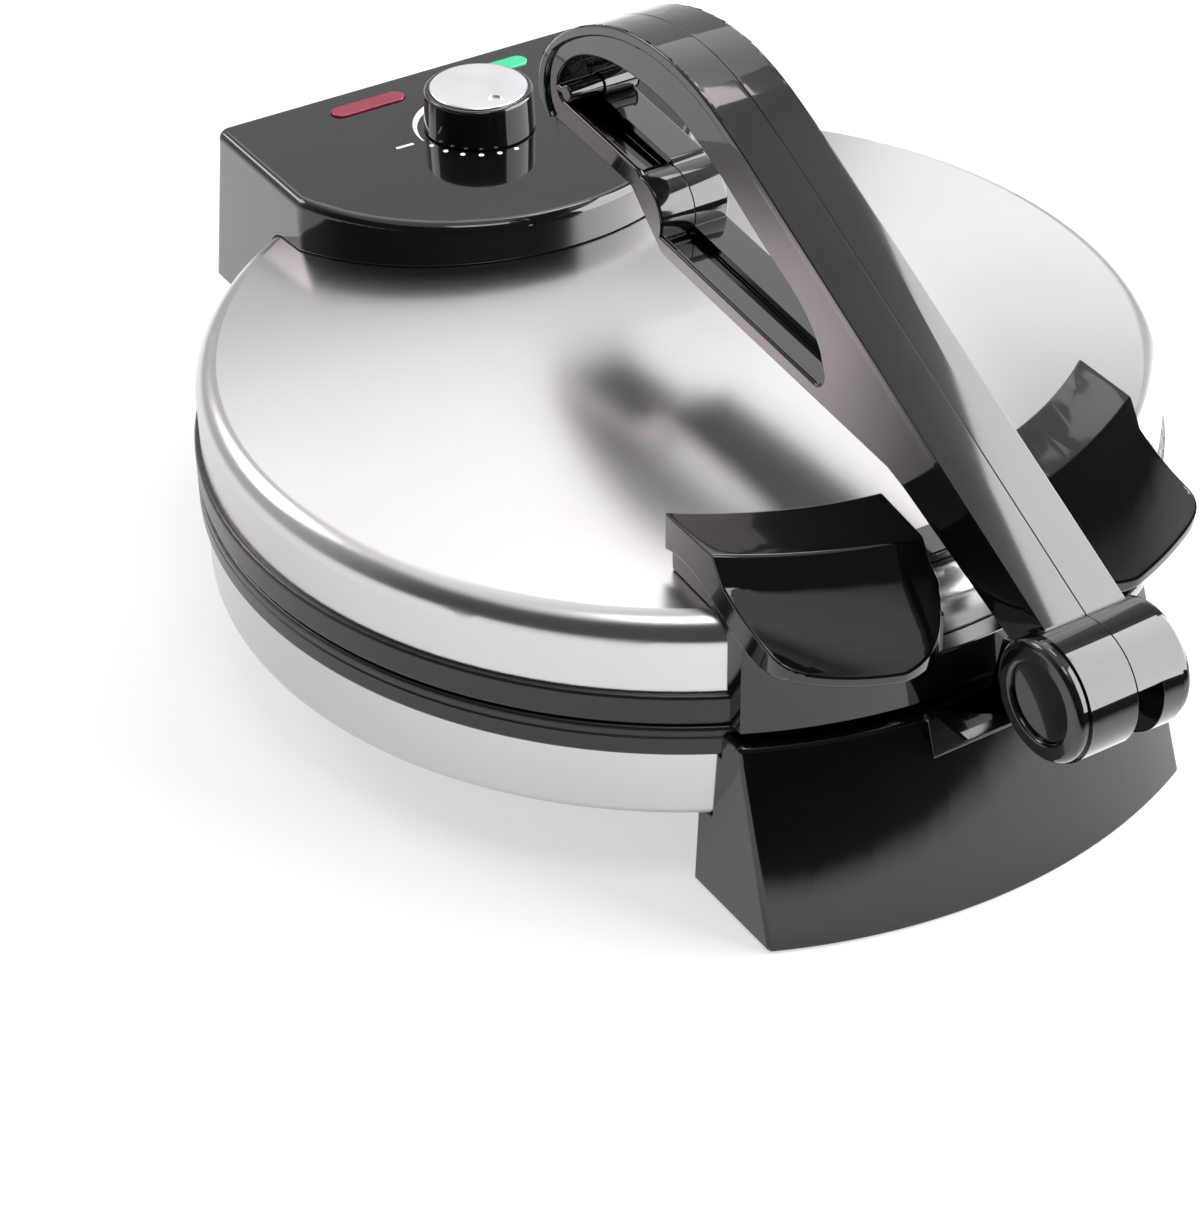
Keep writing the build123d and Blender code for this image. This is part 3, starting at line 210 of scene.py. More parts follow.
@dataclass(frozen=True)
class LacqueredPlastic(Finish):
    """Moulded plastic under a hard clear lacquer: the lacquer's mirror lies over a softer gloss.

    Args:
        coat: Share of the lacquer.
        coat_roughness: Micro-roughness of the lacquer.
        under_gloss: Share of the mirror that is left to the plastic below.
    """

    coat: float = 1.0
    coat_roughness: float = 0.03
    under_gloss: float = 0.12

    def shader(self, tree: bpy.types.NodeTree) -> bpy.types.Node:
        """Adds the lacquer to the plastic's shader.

        Args:
            tree: The material's node tree.

        Returns:
            The shader node.
        """
        node = super().shader(tree)
        node.inputs["Coat Weight"].default_value = self.coat
        node.inputs["Coat Roughness"].default_value = self.coat_roughness
        node.inputs["Specular IOR Level"].default_value = self.under_gloss
        return node


@dataclass(frozen=True)
class TurnedSteel(Finish):
    """Stainless steel brushed on a turntable: fine rings about the vertical axis.

    The rings soften reflections across them and leave a faint sheen that runs round the lid.

    Args:
        anisotropy: How much longer highlights are across the rings.
        sweep_mm: Length of one brush mark along its ring, at the rim.
    """

    anisotropy: float = 0.35
    sweep_mm: float = 60.0

    def shader(self, tree: bpy.types.NodeTree) -> bpy.types.Node:
        """Adds the metal's shader with a tangent that runs round the vertical axis.

        Args:
            tree: The material's node tree.

        Returns:
            The shader node.
        """
        node = super().shader(tree)
        node.inputs["Anisotropic"].default_value = self.anisotropy
        tangent = add_node(tree, "ShaderNodeTangent", options={"direction_type": "RADIAL", "axis": "Z"})
        tree.links.new(tangent.outputs[0], node.inputs["Tangent"])
        return node

    def grain(self, tree: bpy.types.NodeTree, place: bpy.types.NodeSocket) -> bpy.types.NodeSocket:
        """Brush rings: fine from ring to ring, long along each ring.

        Real brush marks are some 0.1 mm wide; they are drawn at a millimetre so that they show.

        Args:
            tree: The material's node tree.
            place: Coordinates in metres.

        Returns:
            A socket with values from 0 to 1.
        """
        split = add_node(tree, "ShaderNodeSeparateXYZ", links={"Vector": place})
        flat = add_node(tree, "ShaderNodeCombineXYZ", links={"X": split.outputs["X"], "Y": split.outputs["Y"]})
        radius = add_node(tree, "ShaderNodeVectorMath", options={"operation": "LENGTH"},
                          links={0: flat.outputs[0]}).outputs["Value"]
        drop = add_node(tree, "ShaderNodeMath", options={"operation": "SUBTRACT"},
                        links={0: radius, 1: split.outputs["Z"]}).outputs[0]
        around = add_node(tree, "ShaderNodeVectorMath", options={"operation": "NORMALIZE"},
                          links={0: flat.outputs[0]}).outputs["Vector"]
        slow = add_node(tree, "ShaderNodeVectorMath", options={"operation": "SCALE"},
                        values={"Scale": RIM_RADIUS_MM / self.sweep_mm}, links={0: around}).outputs["Vector"]
        parts = add_node(tree, "ShaderNodeSeparateXYZ", links={"Vector": slow})
        fine = add_node(tree, "ShaderNodeMath", options={"operation": "MULTIPLY"},
                        values={1: 1 / (self.grain_mm * MM)}, links={0: drop}).outputs[0]
        swept = add_node(tree, "ShaderNodeCombineXYZ",
                         links={"X": parts.outputs["X"], "Y": parts.outputs["Y"], "Z": fine}).outputs[0]
        return add_node(tree, "ShaderNodeTexNoise", values={"Scale": 1.0, "Detail": 4.0, "Roughness": 0.7},
                        links={"Vector": swept}).outputs["Fac"]


@dataclass(frozen=True)
class LensPlastic(Finish):
    """Moulded clear plastic, tinted through: deep colour with bright edges and fine ribs below, and a painted
    glow in its own colour.

    Args:
        clear: Share of light that passes.
        rib_mm: Spacing of the light-spreading ribs.
        glow: Painted glow in the lens's own colour, though the lamp behind it is not lit.
    """

    clear: float = 0.12
    rib_mm: float = 1.6
    glow: float = 0.0

    def shader(self, tree: bpy.types.NodeTree) -> bpy.types.Node:
        """Adds the tinted shader with its share of passing light.

        Args:
            tree: The material's node tree.

        Returns:
            The shader node.
        """
        node = super().shader(tree)
        node.inputs["Transmission Weight"].default_value = self.clear
        node.inputs["Coat Weight"].default_value = 0.3
        node.inputs["Coat Roughness"].default_value = 0.05
        # Painted glow: the unlit lens gives off light in its own colour
        node.inputs["Emission Color"].default_value = linear(self.colour)
        node.inputs["Emission Strength"].default_value = self.glow
        return node

    def grain(self, tree: bpy.types.NodeTree, place: bpy.types.NodeSocket) -> bpy.types.NodeSocket:
        """Straight ribs across the lens.

        Args:
            tree: The material's node tree.
            place: Coordinates in metres.

        Returns:
            A socket with values from 0 to 1.
        """
        return add_node(tree, "ShaderNodeTexWave", options={"bands_direction": "X"},
                        values={"Scale": 1 / (2 * self.rib_mm * MM), "Distortion": 0.3},
                        links={"Vector": place}).outputs["Fac"]


@dataclass(frozen=True)
class SpeckledCoating(Finish):
    """Sprayed release coating on cast aluminium: satin dark grey with fine pale specks.

    Args:
        speck: sRGB colour of the specks.
        speck_mm: Spacing of the specks.
    """

    speck: str = "8C8C90"
    speck_mm: float = 3.0

    def build(self) -> bpy.types.Material:
        """Makes the coating and adds its specks.

        Returns:
            The new material.
        """
        material = super().build()
        tree = material.node_tree
        shader = next(node for node in tree.nodes if node.type == "BSDF_PRINCIPLED")
        place = self.coordinates(tree)
        cells = add_node(tree, "ShaderNodeTexVoronoi", values={"Scale": 1 / (self.speck_mm * MM)},
                         links={"Vector": place}).outputs["Distance"]
        dots = add_node(tree, "ShaderNodeMapRange",
                        values={"From Min": 0.10, "From Max": 0.16, "To Min": 1.0, "To Max": 0.0},
                        links={"Value": cells}).outputs["Result"]
        mix = add_node(tree, "ShaderNodeMix", options={"data_type": "RGBA"},
                       values={6: linear(self.colour), 7: linear(self.speck)}, links={0: dots})
        tree.links.new(mix.outputs[2], shader.inputs["Base Color"])
        return material


@dataclass(frozen=True)
class InkWithPaintedGlow(Finish):
    """Thick screen-printed ink, whose pigment scatters so well that it stays pale in the dial's shadow.

    Args:
        painted_glow: Painted glow, the light that the ink gives off on its own, though no lamp lights it.
    """

    painted_glow: float = 0.45

    def shader(self, tree: bpy.types.NodeTree) -> bpy.types.Node:
        """Adds the painted glow to the ink's shader.

        Args:
            tree: The material's node tree.

        Returns:
            The shader node.
        """
        node = super().shader(tree)
        # Painted light: the ink glows a little everywhere, which keeps it pale in the knob's shadow
        node.inputs["Emission Color"].default_value = linear(self.colour)
        node.inputs["Emission Strength"].default_value = self.painted_glow
        return node


class Palette:
    """Every finish of the press, each made once and shared by the pieces that have it."""

    def __init__(self) -> None:
        """Builds all materials, each from its real process."""
        # Gloss ABS under clear lacquer: near black, sharp reflections with a slight mould wave
        self.gloss = LacqueredPlastic("abs_moulded_lacquered_black", "0A0A0B", roughness=0.12, ior=1.52,
                                      grain_mm=45.0, relief_mm=0.03, gloss_change=0.03, patch_mm=60.0,
                                      tint="111113").build()
        # ABS from a spark-eroded mould: dull black with a fine leathery grain
        self.textured = Finish("abs_moulded_textured_black", "151516", roughness=0.55, grain_mm=0.9,
                               relief_mm=0.03, gloss_change=0.06, patch_mm=25.0, tint="1E1E1F").build()
        # Phenolic ring, fine turned and satin: dark grey with broad soft reflections
        self.satin = Finish("phenolic_turned_satin_black", "141416", roughness=0.3, ior=1.5, grain_mm=0.8,
                            relief_mm=0.006, gloss_change=0.05, patch_mm=40.0, tint="1C1C1F").build()
        # Stainless steel brushed on a turntable: pale grey, reflections stretched across the rings
        self.steel = TurnedSteel("stainless_turntable_brushed", "C2C1C2", metallic=1.0, roughness=0.24,
                                 grain_mm=1.1, relief_mm=0.0015, gloss_change=0.015, patch_mm=70.0,
                                 tint="BBBBBD").build()
        # Spun aluminium disc: bright satin with fine rings about the dial
        self.dial_metal = Finish("aluminium_spun_disc", "E2E2E5", metallic=1.0, roughness=0.3, grain_mm=0.7,
                                 relief_mm=0.004, gloss_change=0.03, patch_mm=12.0).build()
        # Injection-moulded tinted polycarbonate lenses, with a faint painted glow in their own colour
        self.red = LensPlastic("polycarbonate_moulded_red", "80082A", roughness=0.14, ior=1.5, glow=0.04,
                               relief_mm=0.05, gloss_change=0.02, patch_mm=9.0, tint="A81C46").build()
        self.green = LensPlastic("polycarbonate_moulded_green", "1DB07C", roughness=0.14, ior=1.5, glow=0.12,
                                 relief_mm=0.05, gloss_change=0.02, patch_mm=9.0, tint="55DDAA").build()
        # Moulded rubber feet: deep matt black with a dry bloom
        self.rubber = Finish("rubber_moulded_matt_black", "181818", roughness=0.8, grain_mm=0.5,
                             relief_mm=0.03, gloss_change=0.08, patch_mm=6.0, tint="262625").build()
        # Zinc-plated steel pins and screws: bright, slightly uneven plate
        self.zinc = Finish("steel_zinc_plated", "BFC1C4", metallic=1.0, roughness=0.3, grain_mm=0.5,
                           relief_mm=0.004, gloss_change=0.08, patch_mm=3.0, tint="A8A59A").build()
        # Cast hot plates with sprayed release coating
        self.coating = SpeckledCoating("aluminium_cast_release_coated", "26262A", roughness=0.42,
                                       grain_mm=0.7, relief_mm=0.02, gloss_change=0.06).build()
        # Sheathed element: oxidised steel with straw and blue heat tones
        self.sheath = Finish("steel_sheath_heat_oxidised", "6B6560", metallic=1.0, roughness=0.45,
                             grain_mm=0.8, relief_mm=0.01, gloss_change=0.08, patch_mm=18.0,
                             tint="5A6272", tint_share=0.6).build()
        # Pressed aluminised sheet of the reflector pans
        self.reflector = Finish("steel_sheet_aluminised", "B9BABC", metallic=1.0, roughness=0.4,
                                grain_mm=2.5, relief_mm=0.01, gloss_change=0.08, patch_mm=14.0,
                                tint="A4A39E").build()
        # Steatite terminal block, glazed off-white
        self.ceramic = Finish("steatite_pressed_glazed", "D8D3C6", roughness=0.35, ior=1.6, grain_mm=0.6,
                              relief_mm=0.01, gloss_change=0.08, patch_mm=8.0, tint="C9C1AE").build()
        # Neon lamp glass behind the lenses
        self.lamp = LensPlastic("glass_drawn_lamp", "E9DCCB", roughness=0.08, ior=1.5, clear=0.7,
                                relief_mm=0.02, gloss_change=0.02, patch_mm=5.0).build()
        # White screen-printed ink on the panel, with a painted glow that keeps it pale in the knob's shadow
        self.ink = InkWithPaintedGlow("ink_screen_printed_white", "E4E4E2", roughness=0.5, grain_mm=0.3,
                             relief_mm=0.005, gloss_change=0.05, patch_mm=4.0, tint="D2D2CF").build()

    def by_slot(self) -> dict[str, bpy.types.Material]:
        """Sorts the finishes by the record's slots.

        Returns:
            The finish of each material slot.
        """
        return {
            "brushed_shell": self.steel, "satin_black": self.satin, "plate_coating": self.coating,
            "element_sheath": self.sheath, "reflector_steel": self.reflector, "gloss_black": self.gloss,
            "moulded_black": self.textured, "foot_rubber": self.rubber, "plated_steel": self.zinc,
            "terminal_ceramic": self.ceramic, "thermostat_body": self.zinc, "dial_metal": self.dial_metal,
            "red_lens": self.red, "green_lens": self.green, "lamp_glass": self.lamp,
        }


@dataclass
class PackedNodes:
    """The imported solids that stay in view, dressed by their material slots.

    Args:
        palette: Finishes that they are dressed with.
    """

    palette: Palette

    def dress(self) -> None:
        """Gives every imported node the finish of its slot."""
        finishes = self.palette.by_slot()
        for name, node in frame["nodes"].items():
            for slot in node.material_slots:
                slot.material = finishes[SLOTS[name]]


# Moulded pieces


@dataclass
class MouldedPiece:
    """A moulded part whose edges are softened as a mould leaves them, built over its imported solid.

    Args:
        node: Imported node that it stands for.
        body: Body that it rides on.
        edge_mm: Radius of its softened edges.
        weld_mm: Points nearer than this become one before the edges are softened.
        flat_deg: Faces that meet flatter than this become one.
        fold_deg: Folds sharper than this count as edges.
        rounds: Steps across each softened edge.
        inner_share: Share of the edge radius that an inner edge gets.
        face_weight: How strongly the large faces pull the smooth shading.
    """

    node: str
    body: Body
    edge_mm: float = 0.5
    weld_mm: float = 0.12
    flat_deg: float = 0.5
    fold_deg: float = 28.0
    rounds: int = 3
    inner_share: float = 0.3
    face_weight: int = 90

    def edge_share(self, start: Vector, end: Vector, convex: bool) -> float:
        """Share of the edge radius that one edge gets.

        Args:
            start: First end of the edge in metres.
            end: Second end of the edge in metres.
            convex: Whether the edge stands out.

        Returns:
            A share from 0 to 1.
        """
        return 1.0 if convex else self.inner_share

    def build(self) -> bpy.types.Object:
        """Builds the piece with welded faces, softened edges and smooth shading.

        Returns:
            The new object.
        """
        name = self.node + "_moulding"
        mesh = bpy.data.meshes.new(name)
        shape = bmesh.new()
        shape.from_mesh(frame["nodes"][self.node].data)
        bmesh.ops.remove_doubles(shape, verts=shape.verts, dist=self.weld_mm * MM)
        bmesh.ops.dissolve_limit(shape, angle_limit=math.radians(self.flat_deg),
                                 verts=shape.verts, edges=shape.edges)
        share = shape.edges.layers.float.new("bevel_weight_edge")
        for edge in shape.edges:
            fold = edge.calc_face_angle_signed(0.0)
            if abs(fold) > math.radians(self.fold_deg):
                edge[share] = self.edge_share(edge.verts[0].co, edge.verts[1].co, fold > 0)
                edge.smooth = edge[share] > 0
        for face in shape.faces:
            face.smooth = True
        shape.to_mesh(mesh)
        shape.free()
        piece = bpy.data.objects.new(name, mesh)
        bpy.context.scene.collection.objects.link(piece)
        soft = piece.modifiers.new("softened_edges", "BEVEL")
        soft.limit_method = "WEIGHT"
        soft.width = self.edge_mm * MM
        soft.segments = self.rounds
        soft.use_clamp_overlap = False
        soft.harden_normals = False
        even = piece.modifiers.new("even_faces", "WEIGHTED_NORMAL")
        even.keep_sharp = True
        even.weight = self.face_weight
        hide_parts(self.node)
        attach(piece, self.body.value)
        return piece

    def dress(self, piece: bpy.types.Object, material: bpy.types.Material, slot: str) -> None:
        """Gives the piece its finish.

        Args:
            piece: The piece to dress.
            material: Its finish.
            slot: The record's slot of that finish; not used.
        """
        piece.data.materials.clear()
        piece.data.materials.append(material)


@dataclass
class LeverHalf(MouldedPiece):
    """One half of the press lever: a crisp seam and soft outer edges.

    Args:
        barrel: Barrel's axis as Y and Z in millimetres.
        barrel_clear: Distance from that axis up to which the turned barrel keeps its own roundings.
        neck: Distance from the middle beyond which the barrel's flange starts.
        seam: Edges nearer to the middle than this belong to the seam.
        crisp_share: Share of the edge radius at the seam and near the barrel.
    """

    barrel: tuple[float, float] = (-224.0, 103.0)
    barrel_clear: float = 24.0
    neck: float = 16.4
    seam: float = 0.6
    crisp_share: float = 0.2
    inner_share: float = 0.15

    def from_barrel(self, point: Vector) -> float:
        """Distance of a point from the barrel's axis.

        Args:
            point: The point in metres.

        Returns:
            The distance in millimetres.
        """
        return math.hypot(point.y / MM - self.barrel[0], point.z / MM - self.barrel[1])

    def edge_share(self, start: Vector, end: Vector, convex: bool) -> float:
        """Small shares at the seam, none on the turned barrel, the full radius elsewhere.

        Args:
            start: First end of the edge in metres.
            end: Second end of the edge in metres.
            convex: Whether the edge stands out.

        Returns:
            A share from 0 to 1.
        """
        across = max(abs(start.x), abs(end.x)) / MM
        near = min(self.from_barrel(start), self.from_barrel(end)) < self.barrel_clear
        if near and across > self.neck:
            return 0.0
        if across < self.seam or near:
            return self.crisp_share
        return 1.0 if convex else self.inner_share


@dataclass
class DialPrint:
    """Screen-printed dial marks on the panel: a tapered arc, six dots and a zero bar.

    Args:
        centre: Knob's axis on the panel, in millimetres.
        dot_count: Number of dots.
        dot_radius: Radius of each dot.
        dot_ring: Distance of the dots from the knob's axis.
        dot_first: Direction of the first dot in degrees from +X.
        dot_step: Turn from one dot to the next.
        arc_inner: Inner radius of the arc.
        arc_outer: Outer radius of the arc at its wide end.
        arc_from: Direction of the arc's wide end.
        arc_to: Direction of its narrow end.
        bar_from: Distance at which the zero bar starts.
        bar_to: Distance at which it ends.
        bar_turn: Its direction.
        bar_width: Its width.
        bar_taper: Share of that width at its far end.
        arc_tip: Width of the arc at its narrow end.
        dot_sides: Corners round each dot.
        arc_steps: Patches along the arc.
        ink_mm: Thickness of the ink.
    """

    centre: tuple[float, float, float] = (0.0, 133.3, 129.0)
    dot_count: int = 6
    dot_radius: float = 0.95
    dot_ring: float = 23.0
    dot_first: float = -170.0
    dot_step: float = 17.0
    arc_inner: float = 23.1
    arc_outer: float = 26.4
    arc_from: float = 108.0
    arc_to: float = 178.0
    bar_from: float = 27.5
    bar_to: float = 34.5
    bar_turn: float = 178.0
    bar_width: float = 1.3
    bar_taper: float = 0.8
    arc_tip: float = 0.5
    dot_sides: int = 24
    arc_steps: int = 32
    ink_mm: float = 0.05

    def place(self, radius: float, turn: float) -> tuple[float, float]:
        """Point of the print from its distance and direction.

        Args:
            radius: Distance from the knob's axis in millimetres.
            turn: Direction in degrees from +X.

        Returns:
            The point in metres.
        """
        return (
            (self.centre[0] + radius * math.cos(math.radians(turn))) * MM,
            (self.centre[1] + radius * math.sin(math.radians(turn))) * MM,
        )

    def patch(self, shape: bmesh.types.BMesh, outline: list[tuple[float, float]]) -> None:
        """Adds one printed patch as a thin raised slab.

        Args:
            shape: Mesh that gets the patch.
            outline: Its outline in metres.
        """
        low = self.centre[2] * MM - self.ink_mm * MM
        corners = [shape.verts.new((x, y, low)) for x, y in outline]
        face = shape.faces.new(corners)
        face.normal_update()
        raised = bmesh.ops.extrude_face_region(shape, geom=[face])
        tops = [part for part in raised["geom"] if isinstance(part, bmesh.types.BMVert)]
        bmesh.ops.translate(shape, verts=tops, vec=(0, 0, 2 * self.ink_mm * MM))

    def build(self) -> bpy.types.Object:
        """Builds all marks as one print.

        Returns:
            The print's object.
        """
        shape = bmesh.new()
        for number in range(self.dot_count):
            middle = self.place(self.dot_ring, self.dot_first + number * self.dot_step)
            around = [math.tau * step / self.dot_sides for step in range(self.dot_sides)]
            self.patch(shape, [(middle[0] + self.dot_radius * MM * math.cos(turn),
                                middle[1] + self.dot_radius * MM * math.sin(turn)) for turn in around])
        slope = self.arc_outer - self.arc_inner - self.arc_tip
        for step in range(self.arc_steps):
            shares = (step / self.arc_steps, (step + 1) / self.arc_steps)
            turns = [self.arc_from + (self.arc_to - self.arc_from) * share for share in shares]
            widths = [self.arc_outer - slope * share for share in shares]
            self.patch(shape, [
                self.place(self.arc_inner, turns[0]), self.place(widths[0], turns[0]),
                self.place(widths[1], turns[1]), self.place(self.arc_inner, turns[1]),
            ])
        near = math.degrees(self.bar_width / 2 / self.bar_from)
        far = near * self.bar_taper
        self.patch(shape, [
            self.place(self.bar_from, self.bar_turn - near), self.place(self.bar_to, self.bar_turn - far),
            self.place(self.bar_to, self.bar_turn + far), self.place(self.bar_from, self.bar_turn + near),
        ])
        bmesh.ops.recalc_face_normals(shape, faces=shape.faces)
        mesh = bpy.data.meshes.new("dial_print")
        shape.to_mesh(mesh)
        shape.free()
        piece = bpy.data.objects.new("dial_print", mesh)
        bpy.context.scene.collection.objects.link(piece)
        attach(piece, Body.LID.value)
        return piece

    def dress(self, piece: bpy.types.Object, ink: bpy.types.Material) -> None:
        """Gives the print its ink.

        Args:
            piece: The print.
            ink: Finish of the ink.
        """
        piece.data.materials.append(ink)


# Studio


@dataclass(frozen=True)
class Softbox:
    """One rectangular lamp of the studio, hidden from the camera but not from reflections.

    Args:
        name: Name of the lamp.
        place: Its centre in metres.
        aim: Point that it faces in metres.
        size: Its width and height in metres.
        level: Brightness of its face, where 1 is white.
        colour: Its sRGB colour.
        spares: Pieces that a card between them and the lamp keeps dark.
    """

    name: str
    place: tuple[float, float, float]
    aim: tuple[float, float, float]
    size: tuple[float, float]
    level: float
    colour: str = "FFFFFF"
    spares: tuple[str, ...] = ()

    def build(self) -> bpy.types.Object:
        """Builds the lamp.

        Returns:
            The lamp object.
        """
        data = bpy.data.lights.new(self.name, "AREA")
        data.shape = "RECTANGLE"
        data.size, data.size_y = self.size
        data.energy = 4 * self.level * self.size[0] * self.size[1]
        data.color = linear(self.colour)[:3]
        lamp = bpy.data.objects.new(self.name, data)
        lamp.location = self.place
        lamp.rotation_euler = (Vector(self.place) - Vector(self.aim)).to_track_quat("Z", "Y").to_euler()
        lamp.visible_camera = False
        bpy.context.scene.collection.objects.link(lamp)
        return lamp

    def shade(self) -> None:
        """Keeps the lamp off the pieces that it spares, once they are built."""
        if not self.spares:
            return
        card = bpy.data.collections.new(self.name + "_card")
        bpy.data.objects[self.name].light_linking.receiver_collection = card
        for name in self.spares:
            card.objects.link(frame["nodes"].get(name) or bpy.data.objects[name])
        for entry in card.collection_objects:
            entry.light_linking.link_state = "EXCLUDE"


@dataclass
class Studio:
    """Pale floor, soft lamps and the camera of the photograph.

    Args:
        floor_half: Half width of the floor in metres.
        paper: sRGB colour of the floor.
        floor_glow: Light that the floor adds for rays that look at it.
        table_front: Distance in front of the press up to which the pale floor shows in reflections.
        floor_clear: Distance from the press beyond which the camera sees the floor plain white.
        room_level: Brightness of the dim room as the press sees it.
        rear_level: What the room's rear adds to it.
        ceiling_level: What its ceiling adds to it.
        target: Point that the camera looks at.
        back: Direction from that point to the camera.
        distance: Distance of the camera from that point.
        roll: Turn of the camera about its view.
        lens_mm: Focal length.
        sensor_mm: Width of the sensor.
    """

    floor_half: float = 6.0
    paper: str = "B4B4B4"
    floor_glow: float = 0.55
    table_front: float = 0.36
    floor_clear: float = 0.60
    room_level: float = 0.10
    rear_level: float = 0.55
    ceiling_level: float = 0.9
    target: Vector = field(default_factory=lambda: Vector((-0.027982, 0.008337, -0.003998)))
    back: Vector = field(default_factory=lambda: Vector((-0.42275, -0.68511, 0.59322)))
    distance: float = 1.150167
    roll: float = math.radians(-0.775)
    lens_mm: float = 93.75
    sensor_mm: float = 36.0

    def build_camera(self) -> bpy.types.Object:
        """Sets the camera where the photograph was taken from.

        Returns:
            The camera object.
        """
        data = bpy.data.cameras.new("camera")
        camera = bpy.data.objects.new("camera", data)
        bpy.context.scene.collection.objects.link(camera)
        data.sensor_width = self.sensor_mm
        data.lens = self.lens_mm
        right = Vector((-self.back.y, self.back.x, 0)).normalized()
        up = self.back.cross(right).normalized()
        turn = Matrix.Rotation(self.roll, 3, self.back)
        right = turn @ right
        up = turn @ up
        place = self.target + self.back * self.distance
        camera.matrix_world = Matrix((
            (right.x, up.x, self.back.x, place.x),
            (right.y, up.y, self.back.y, place.y),
            (right.z, up.z, self.back.z, place.z),
            (0, 0, 0, 1),
        ))
        bpy.context.scene.camera = camera
        return camera

    def build_floor(self) -> bpy.types.Object:
        """Lays the pale floor that keeps the press's shadow; reflections see it end in front of the press.

        Returns:
            The floor object.
        """
        half = self.floor_half
        mesh = bpy.data.meshes.new("floor")
        corners = [(-half, -half, 0), (half, -half, 0), (half, half, 0), (-half, half, 0)]
        mesh.from_pydata(corners, [], [(0, 1, 2, 3)])
        floor = bpy.data.objects.new("floor", mesh)
        bpy.context.scene.collection.objects.link(floor)
        material = bpy.data.materials.new("paper_backdrop_white")
        material.use_nodes = True
        tree = material.node_tree
        tree.nodes.clear()
        paper = add_node(tree, "ShaderNodeBsdfDiffuse", values={"Color": linear(self.paper)})
        path = add_node(tree, "ShaderNodeLightPath")
        seen = add_node(tree, "ShaderNodeMath", options={"operation": "MAXIMUM"},
                        links={0: path.outputs["Is Camera Ray"], 1: path.outputs["Is Glossy Ray"]})
        level = add_node(tree, "ShaderNodeMath", options={"operation": "MULTIPLY"},
                         values={1: self.floor_glow}, links={0: seen.outputs[0]})
        glow = add_node(tree, "ShaderNodeEmission", values={"Color": (1, 1, 1, 1)},
                        links={"Strength": level.outputs[0]})
        both = add_node(tree, "ShaderNodeAddShader", links={0: paper.outputs[0], 1: glow.outputs[0]})
        place = add_node(tree, "ShaderNodeSeparateXYZ",
                         links={"Vector": add_node(tree, "ShaderNodeTexCoord").outputs["Object"]})
        beyond = add_node(tree, "ShaderNodeMapRange", options={"interpolation_type": "SMOOTHSTEP"},
                          values={"From Min": -self.table_front, "From Max": -1.5 * self.table_front},
                          links={"Value": place.outputs["Y"]})
        hidden = add_node(tree, "ShaderNodeMath", options={"operation": "MULTIPLY"},
                          links={0: beyond.outputs["Result"], 1: path.outputs["Is Glossy Ray"]})
        dark = add_node(tree, "ShaderNodeBsdfDiffuse", values={"Color": linear("202020")})
        surface = add_node(tree, "ShaderNodeMixShader",
                           links={0: hidden.outputs[0], 1: both.outputs[0], 2: dark.outputs[0]})
        reach = add_node(tree, "ShaderNodeVectorMath", options={"operation": "LENGTH"},
                         links={0: add_node(tree, "ShaderNodeTexCoord").outputs["Object"]})
        far = add_node(tree, "ShaderNodeMapRange", options={"interpolation_type": "SMOOTHSTEP"},
                       values={"From Min": self.floor_clear, "From Max": 2 * self.floor_clear},
                       links={"Value": reach.outputs["Value"]})
        shown = add_node(tree, "ShaderNodeMath", options={"operation": "MULTIPLY"},
                         links={0: far.outputs["Result"], 1: path.outputs["Is Camera Ray"]})
        white = add_node(tree, "ShaderNodeEmission", values={"Color": (1, 1, 1, 1), "Strength": 1.0})
        whole = add_node(tree, "ShaderNodeMixShader",
                         links={0: shown.outputs[0], 1: surface.outputs[0], 2: white.outputs[0]})
        add_node(tree, "ShaderNodeOutputMaterial", links={"Surface": whole.outputs[0]})
        mesh.materials.append(material)
        return floor

    def build_world(self) -> None:
        """Surrounds the floor with a dim room, paler at its rear and ceiling; the camera sees it white."""
        world = bpy.data.worlds.new("room")
        bpy.context.scene.world = world
        world.use_nodes = True
        tree = world.node_tree
        ground = tree.nodes["Background"]
        ground.inputs["Color"].default_value = (1, 1, 1, 1)
        place = add_node(tree, "ShaderNodeTexCoord").outputs["Generated"]
        split = add_node(tree, "ShaderNodeSeparateXYZ", links={"Vector": place})
        rear = add_node(tree, "ShaderNodeMapRange", options={"interpolation_type": "SMOOTHSTEP"},
                        values={"From Min": 0.0, "From Max": 0.7, "To Min": self.room_level,
                                "To Max": self.room_level + self.rear_level},
                        links={"Value": split.outputs["Y"]})
        ceiling = add_node(tree, "ShaderNodeMapRange", options={"interpolation_type": "SMOOTHSTEP"},
                           values={"From Min": 0.74, "From Max": 0.92, "To Max": self.ceiling_level},
                           links={"Value": split.outputs["Z"]})
        room = add_node(tree, "ShaderNodeMath", options={"operation": "ADD"},
                        links={0: rear.outputs["Result"], 1: ceiling.outputs["Result"]})
        path = add_node(tree, "ShaderNodeLightPath")
        level = add_node(tree, "ShaderNodeMath", options={"operation": "MAXIMUM"},
                         links={0: room.outputs[0], 1: path.outputs["Is Camera Ray"]})
        tree.links.new(level.outputs[0], ground.inputs["Strength"])

    def build(self) -> None:
        """Builds floor, room, lamps and camera."""
        self.build_camera()
        self.build_floor()
        self.build_world()
        for lamp in SOFTBOXES:
            lamp.build()


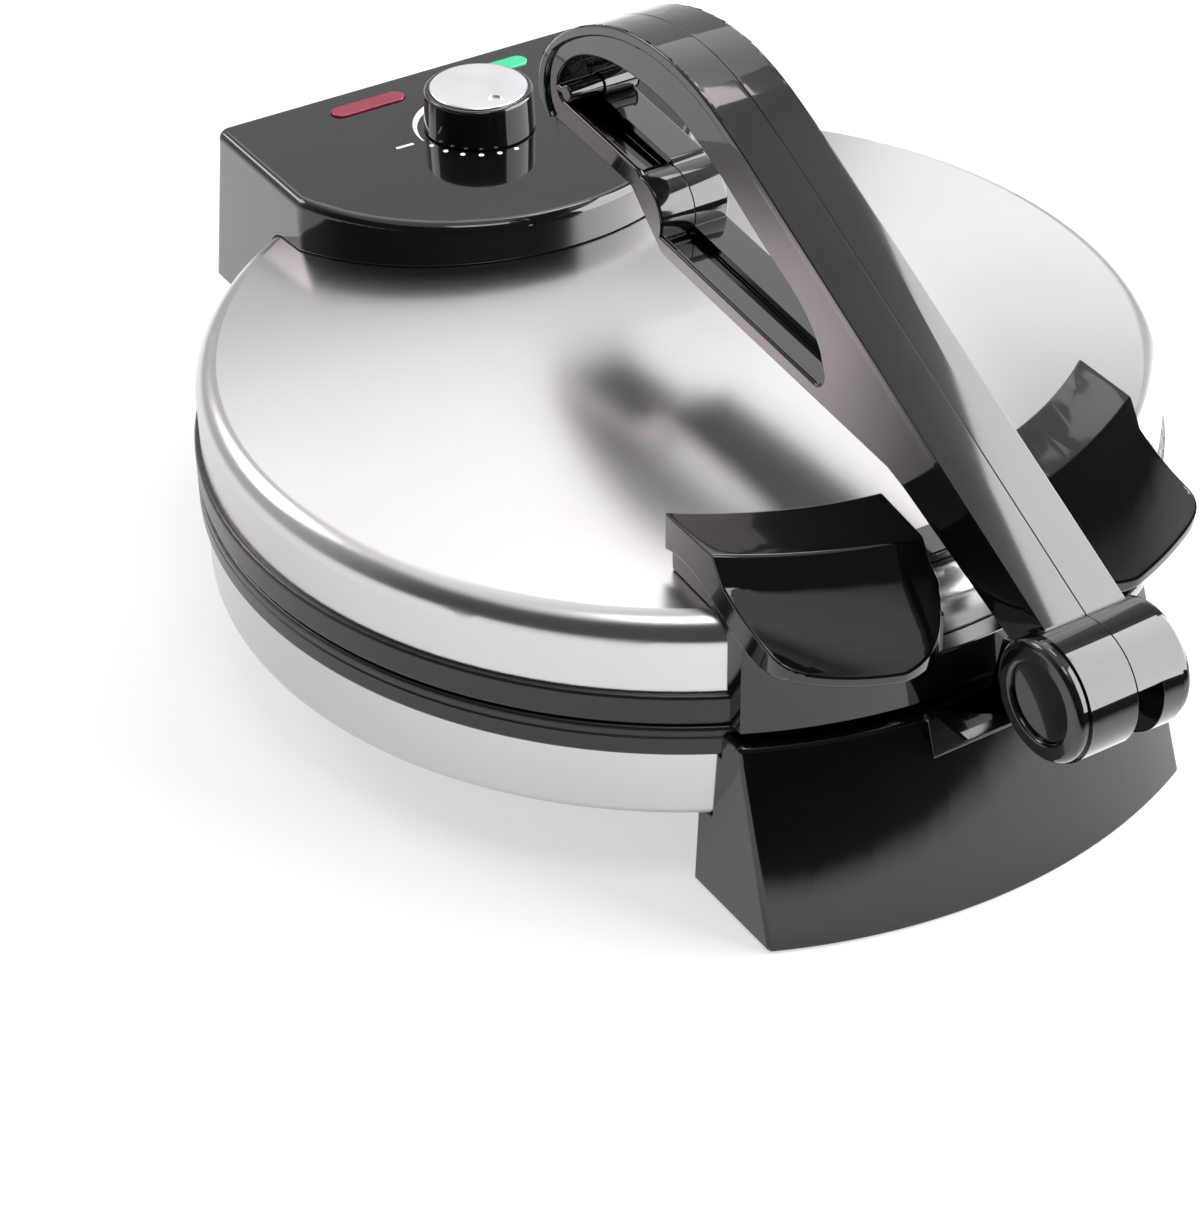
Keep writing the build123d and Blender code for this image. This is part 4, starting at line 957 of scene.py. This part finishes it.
SOFTBOXES = [
    # Tall wall of light at the right of the front: the broad bands on the barrel, the posts and the arm
    Softbox("front_wall", (1.0, -0.90, 0.87), (0.0, -0.90, 0.87), (2.05, 1.70), 7.4, "FFFCFE",
            ("handle_upper_moulding", "lower_hot_plate", "upper_hot_plate")),
    # Behind at the right: lights the whole dome
    Softbox("rear", (0.43, 1.05, 1.36), (0.0, 0.0, 0.1), (1.24, 1.0), 0.90, "FFFDFD"),
    # Lower and farther to the right: keeps the right part of the dome pale
    Softbox("rear_right", (1.38, 1.12, 0.78), (0.0, 0.0, 0.1), (0.7, 0.67), 0.8, "FFFFFF"),
    # Small one overhead: the pinkish band on the left strip of the arch
    Softbox("overhead", (0.764, 0.67, 1.80), (0.764, 0.67, 0.0), (0.41, 0.64), 5.0, "FFF2F4"),
    # Behind at the left: seen by way of the dome in the side of the lever
    Softbox("left_rear", (-0.64, 1.03, 0.9), (0.0, 0.0, 0.11), (0.6, 0.5), 5.0, "FFF0F0"),
    # Above the front: the bright run on the housing's front edge
    Softbox("front_top", (-0.23, -0.53, 1.42), (0.0, 0.08, 0.12), (0.5, 0.45), 4.0, "FFFFFF"),
]
SLOTS = {entry["node"]: entry["material_slot"] for entry in frame["record"]["subparts"]}
MOULDINGS = [
    LeverHalf("lever_left", Body.LEVER, edge_mm=0.9),
    LeverHalf("lever_right", Body.LEVER, edge_mm=0.9),
    MouldedPiece("handle_upper", Body.LID, edge_mm=0.9),
    MouldedPiece("handle_lower", Body.LID, edge_mm=0.5),
    MouldedPiece("control_housing", Body.LID, edge_mm=0.5),
    MouldedPiece("front_foot", Body.BASE, edge_mm=0.8),
    MouldedPiece("rear_stand", Body.BASE, edge_mm=0.8),
    MouldedPiece("knob", Body.DIAL, edge_mm=0.3),
]


def main() -> None:
    """Builds the press's looks in order and reports each step."""
    logging.basicConfig(level=logging.INFO, format="%(message)s")
    bpy.context.scene.view_settings.view_transform = "Standard"
    Studio().build()
    LOG.info("studio: camera, floor and lamps")
    palette = Palette()
    PackedNodes(palette).dress()
    LOG.info("packed nodes dressed: %d", len(frame["nodes"]))
    for moulding in MOULDINGS:
        piece = moulding.build()
        slot = SLOTS[moulding.node]
        moulding.dress(piece, palette.by_slot()[slot], slot)
        LOG.info("built %s on %s", piece.name, moulding.body.value)
    marks = DialPrint()
    marks.dress(marks.build(), palette.ink)
    LOG.info("built the dial print")
    for lamp in SOFTBOXES:
        lamp.shade()


if __name__ == "__main__":
    main()
